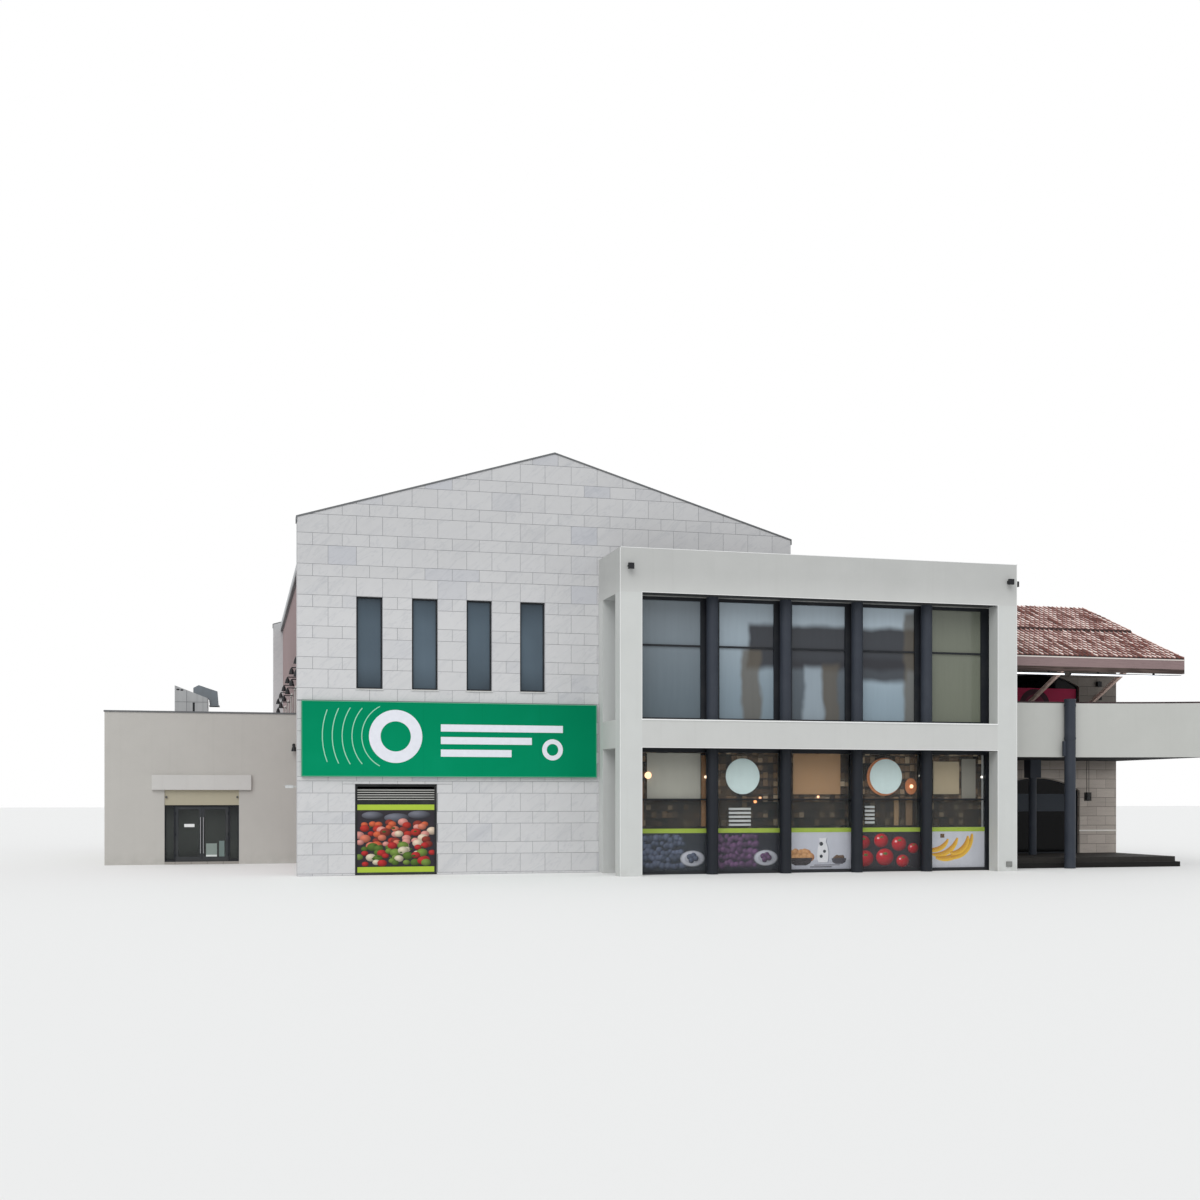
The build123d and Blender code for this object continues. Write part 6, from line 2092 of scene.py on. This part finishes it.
    def market(self, board: Picture) -> None:
        """Dark board: grey dishes at the head, then crowded rounds of salmon, red, cream and
        pink, and greens at the foot."""
        rng = np.random.default_rng(board.seed)
        x0, x1 = board.x0, board.x1
        grey = np.array([srgb(118, 120, 132)] * 3)
        dishes = np.array([[x0 + 0.5, 1.98], [x0 + 1.3, 1.90], [x0 + 2.05, 2.0]])
        board.rounds(dishes, np.array([0.36, 0.42, 0.38]), grey, grey * 0.12, 0.36)
        warm = np.array(
            [srgb(226, 130, 104), srgb(196, 58, 48), srgb(236, 214, 190), srgb(232, 160, 150),
             srgb(222, 106, 70), srgb(150, 60, 50)]
        )
        fresh = np.array([srgb(124, 152, 70), srgb(196, 52, 52), srgb(90, 120, 50), srgb(228, 216, 190)])
        for hues, area, rows in (
            (warm, (x0 + 0.1, x1 - 0.1, 0.95, 1.78), 5),
            (fresh, (x0 + 0.1, x1 - 0.1, 0.33, 1.0), 4),
        ):
            places = board.scattered(9, rows, area, 0.45)
            pick = rng.integers(0, len(hues), len(places))
            radii = rng.uniform(0.11, 0.19, len(places))
            board.rounds(places, radii, hues[pick], hues[pick] * 0.25, 0.72)
        slices = board.scattered(5, 3, (x0 + 0.2, x1 - 0.2, 0.45, 1.6), 0.5)
        leaf = np.array([srgb(70, 96, 44)] * len(slices))
        board.rounds(slices, rng.uniform(0.04, 0.08, len(slices)), leaf, leaf * 0.4, 0.5)

    def prints(self) -> None:
        """Printed panels inside the foot of the glazing and in the shop opening."""
        boards = self.pictures()
        self.berries(boards[0], srgb(96, 104, 128), srgb(26, 28, 40))
        self.berries(boards[1], srgb(116, 78, 120), srgb(30, 20, 36))
        self.breakfast(boards[2])
        self.red_fruit(boards[3])
        self.yellow_fruit(boards[4])
        self.market(boards[5])
        shells = [shell for board in boards for shell in board.shells]
        film = Printed("print_film").material()
        make("printed_panels", joined(shells), film, replaces=["poster_panels"])

    def shop_view(self) -> None:
        """Sheets behind the lower panes that carry the dim view into the shop."""
        shells = [
            box(x0, x1, self.view_face, self.view_face + 0.02, self.board_head, 4.10)
            for x0, x1 in self.bays
        ]
        make("shop_view", joined(shells), ShopView("shop_shelves").material())

    def hangings(self) -> Shell:
        """Plain boards, discs, slats and posts that hang or stand behind the lower panes."""
        y = self.hang
        mint, copper = srgb(228, 248, 246), srgb(204, 126, 76)
        shells = [
            box(11.41, 13.29, y, y + 0.01, 2.50, 4.07).painted(srgb(180, 178, 166)),
            box(13.33, 13.48, y, y + 0.06, 1.60, 4.00).painted(srgb(150, 112, 76)),
            box(11.12, 11.28, y, y + 0.06, 1.60, 3.10).painted(srgb(132, 92, 66)),
            box(16.64, 18.40, y, y + 0.01, 2.69, 4.09).painted(srgb(176, 138, 98)),
            box(20.45, 20.62, y + 0.03, y + 0.06, 1.60, 2.60).painted(srgb(142, 116, 84)),
            box(20.90, 21.15, y + 0.03, y + 0.06, 1.60, 2.60).painted(srgb(120, 96, 70)),
            box(21.95, 22.95, y, y + 0.02, 2.70, 3.85).painted(srgb(182, 166, 136)),
            box(23.05, 23.60, y, y + 0.02, 2.55, 3.95).painted(srgb(140, 136, 124)),
            plates(disc_outline(14.80, 3.30, 0.61)[None], y - 0.02, y).painted(mint),
            plates(disc_outline(20.115, 3.31, 0.61)[None], y - 0.02, y).painted(mint),
            plates(disc_outline(20.06, 3.30, 0.66)[None], y, y + 0.02).painted(copper),
            plates(disc_outline(21.08, 2.97, 0.22, 1.3)[None], y, y + 0.02).painted(copper),
        ]
        for x0, x1, foot, count in ((14.31, 15.10, 1.61, 5), (19.33, 19.69, 1.67, 5)):
            low = foot + np.arange(count) * 0.135
            strips = np.stack(
                [np.full(count, x0), np.full(count, x1), low, low + 0.075], axis=1
            )
            shells.append(standing(strips, y, y + 0.03).painted(srgb(206, 208, 206)))
        return joined(shells)

    def shop_lamps(self) -> Shell:
        """Small warm and white lamps behind the lower panes, turned from a rounded profile."""
        turn = np.linspace(0.08 * np.pi, 0.92 * np.pi, 8)
        rows = [
            (11.43, 3.32, 0.12, (1.0, 0.62, 0.36)), (13.458, 3.273, 0.05, (1.0, 0.78, 0.55)),
            (21.41, 3.345, 0.045, (1.0, 0.95, 0.86)), (23.82, 3.31, 0.045, (1.0, 0.95, 0.86)),
            (15.24, 2.44, 0.06, (0.9, 0.36, 0.14)), (15.42, 2.56, 0.05, (0.9, 0.42, 0.2)),
            (17.55, 2.60, 0.05, (0.9, 0.5, 0.28)), (21.08, 2.97, 0.07, (1.0, 0.66, 0.40)),
        ]
        shells = []
        for x, z, radius, tint in rows:
            profile = np.stack([radius * np.sin(turn), -radius * np.cos(turn) * 0.4], axis=1)
            shells.append(lathe(profile, (x, self.hang - 0.045, z), 16).painted(tint))
        return joined(shells)

    def build(self) -> None:
        """Dress the sign and the shop opening, and set what is printed, hung or lit."""
        shade("sign_panel", SignFace("sign_sheet").material())
        shade("shopfront_frame", PaintedMetal("shop_paint", srgb(34, 36, 38)).material())
        white = Printed("sign_print").material()
        make("sign_motif", self.sign_motif(), white)
        edge = PaintedMetal("sign_edge_paint", srgb(96, 176, 142), dusty=0.1).material()
        make("sign_edge", self.sign_edge(), edge)
        blade = PaintedMetal("blade_paint", srgb(170, 170, 166), dusty=0.2).material()
        make("louvre_lips", self.louvre(), blade)
        self.prints()
        self.shop_view()
        make("shop_hangings", self.hangings(), Printed("hung_boards").material())
        make("shop_lamps", self.shop_lamps(), Printed("lamp_glass", glow=1.6).material())


def studio() -> None:
    """Pale floor, plain sky light, a broad soft sun and the camera."""
    world = bpy.data.worlds.new("studio")
    bpy.context.scene.world = world
    world.use_nodes = True
    tree = world.node_tree
    tree.nodes.clear()
    path = tree.nodes.new("ShaderNodeLightPath")
    seen = tree.nodes.new("ShaderNodeMath")
    seen.operation = "MAXIMUM"
    seen_all = tree.nodes.new("ShaderNodeMath")
    seen_all.operation = "MAXIMUM"
    light = tree.nodes.new("ShaderNodeBackground")
    light.inputs[0].default_value = (0.97, 0.985, 1.0, 1.0)
    light.inputs[1].default_value = 0.70
    white = tree.nodes.new("ShaderNodeBackground")
    white.inputs[0].default_value = (1.0, 1.0, 1.0, 1.0)
    white.inputs[1].default_value = 1.0
    choose = tree.nodes.new("ShaderNodeMixShader")
    output = tree.nodes.new("ShaderNodeOutputWorld")
    link = tree.links.new
    link(path.outputs["Is Camera Ray"], seen.inputs[0])
    link(path.outputs["Is Glossy Ray"], seen.inputs[1])
    link(seen.outputs[0], seen_all.inputs[0])
    link(path.outputs["Is Transmission Ray"], seen_all.inputs[1])
    link(seen_all.outputs[0], choose.inputs[0])
    link(light.outputs[0], choose.inputs[1])
    link(white.outputs[0], choose.inputs[2])
    link(choose.outputs[0], output.inputs[0])

    sun_data = bpy.data.lights.new("soft_sun", "SUN")
    sun_data.energy = 1.5
    sun_data.angle = math.radians(50)
    sun = bpy.data.objects.new("soft_sun", sun_data)
    sun.rotation_euler = (math.radians(48), 0.0, math.radians(-28))
    bpy.context.collection.objects.link(sun)

    mesh = bpy.data.meshes.new("floor")
    reach = 400.0
    mesh.from_pydata(
        [(-reach, -reach, 0), (reach, -reach, 0), (reach, reach, 0), (-reach, reach, 0)],
        [],
        [(0, 1, 2, 3)],
    )
    floor = bpy.data.objects.new("floor", mesh)
    floor.location.z = -0.002
    bpy.context.collection.objects.link(floor)
    sh = Shader("floor_paper")
    mesh.materials.append(sh.finished(sh.surface(srgb(236, 236, 235), 0.9)))


def camera() -> None:
    """Camera at the photographer's place, level, with the horizon below the middle."""
    data = bpy.data.cameras.new("view")
    data.sensor_width = 36.0
    data.lens = 42.6
    data.shift_y = 0.166
    data.clip_end = 1000.0
    eye = bpy.data.objects.new("view", data)
    eye.location = np.array([-1.96, -47.4, 2.519]) - PLAN_ORIGIN
    eye.rotation_euler = (math.radians(90), 0.0, math.radians(-14.415))
    bpy.context.collection.objects.link(eye)
    bpy.context.scene.camera = eye


def main() -> None:
    """Build the scene, sub-assembly by sub-assembly."""
    logging.basicConfig(level=logging.INFO, format="%(message)s")
    bpy.context.scene.view_settings.view_transform = "Standard"
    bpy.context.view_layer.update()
    camera()
    studio()
    for part in (Hall(), Glazing(), Portal(), Shopfront(), Wing(), Arcade()):
        LOG.info("building %s", type(part).__name__)
        part.build()


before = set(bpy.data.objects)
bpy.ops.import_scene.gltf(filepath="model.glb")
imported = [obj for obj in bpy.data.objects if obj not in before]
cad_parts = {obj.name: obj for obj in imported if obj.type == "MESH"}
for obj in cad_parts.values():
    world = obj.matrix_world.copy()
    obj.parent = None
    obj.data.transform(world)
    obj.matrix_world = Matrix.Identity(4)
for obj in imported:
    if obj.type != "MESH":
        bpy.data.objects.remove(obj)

if __name__ == "__main__":
    main()
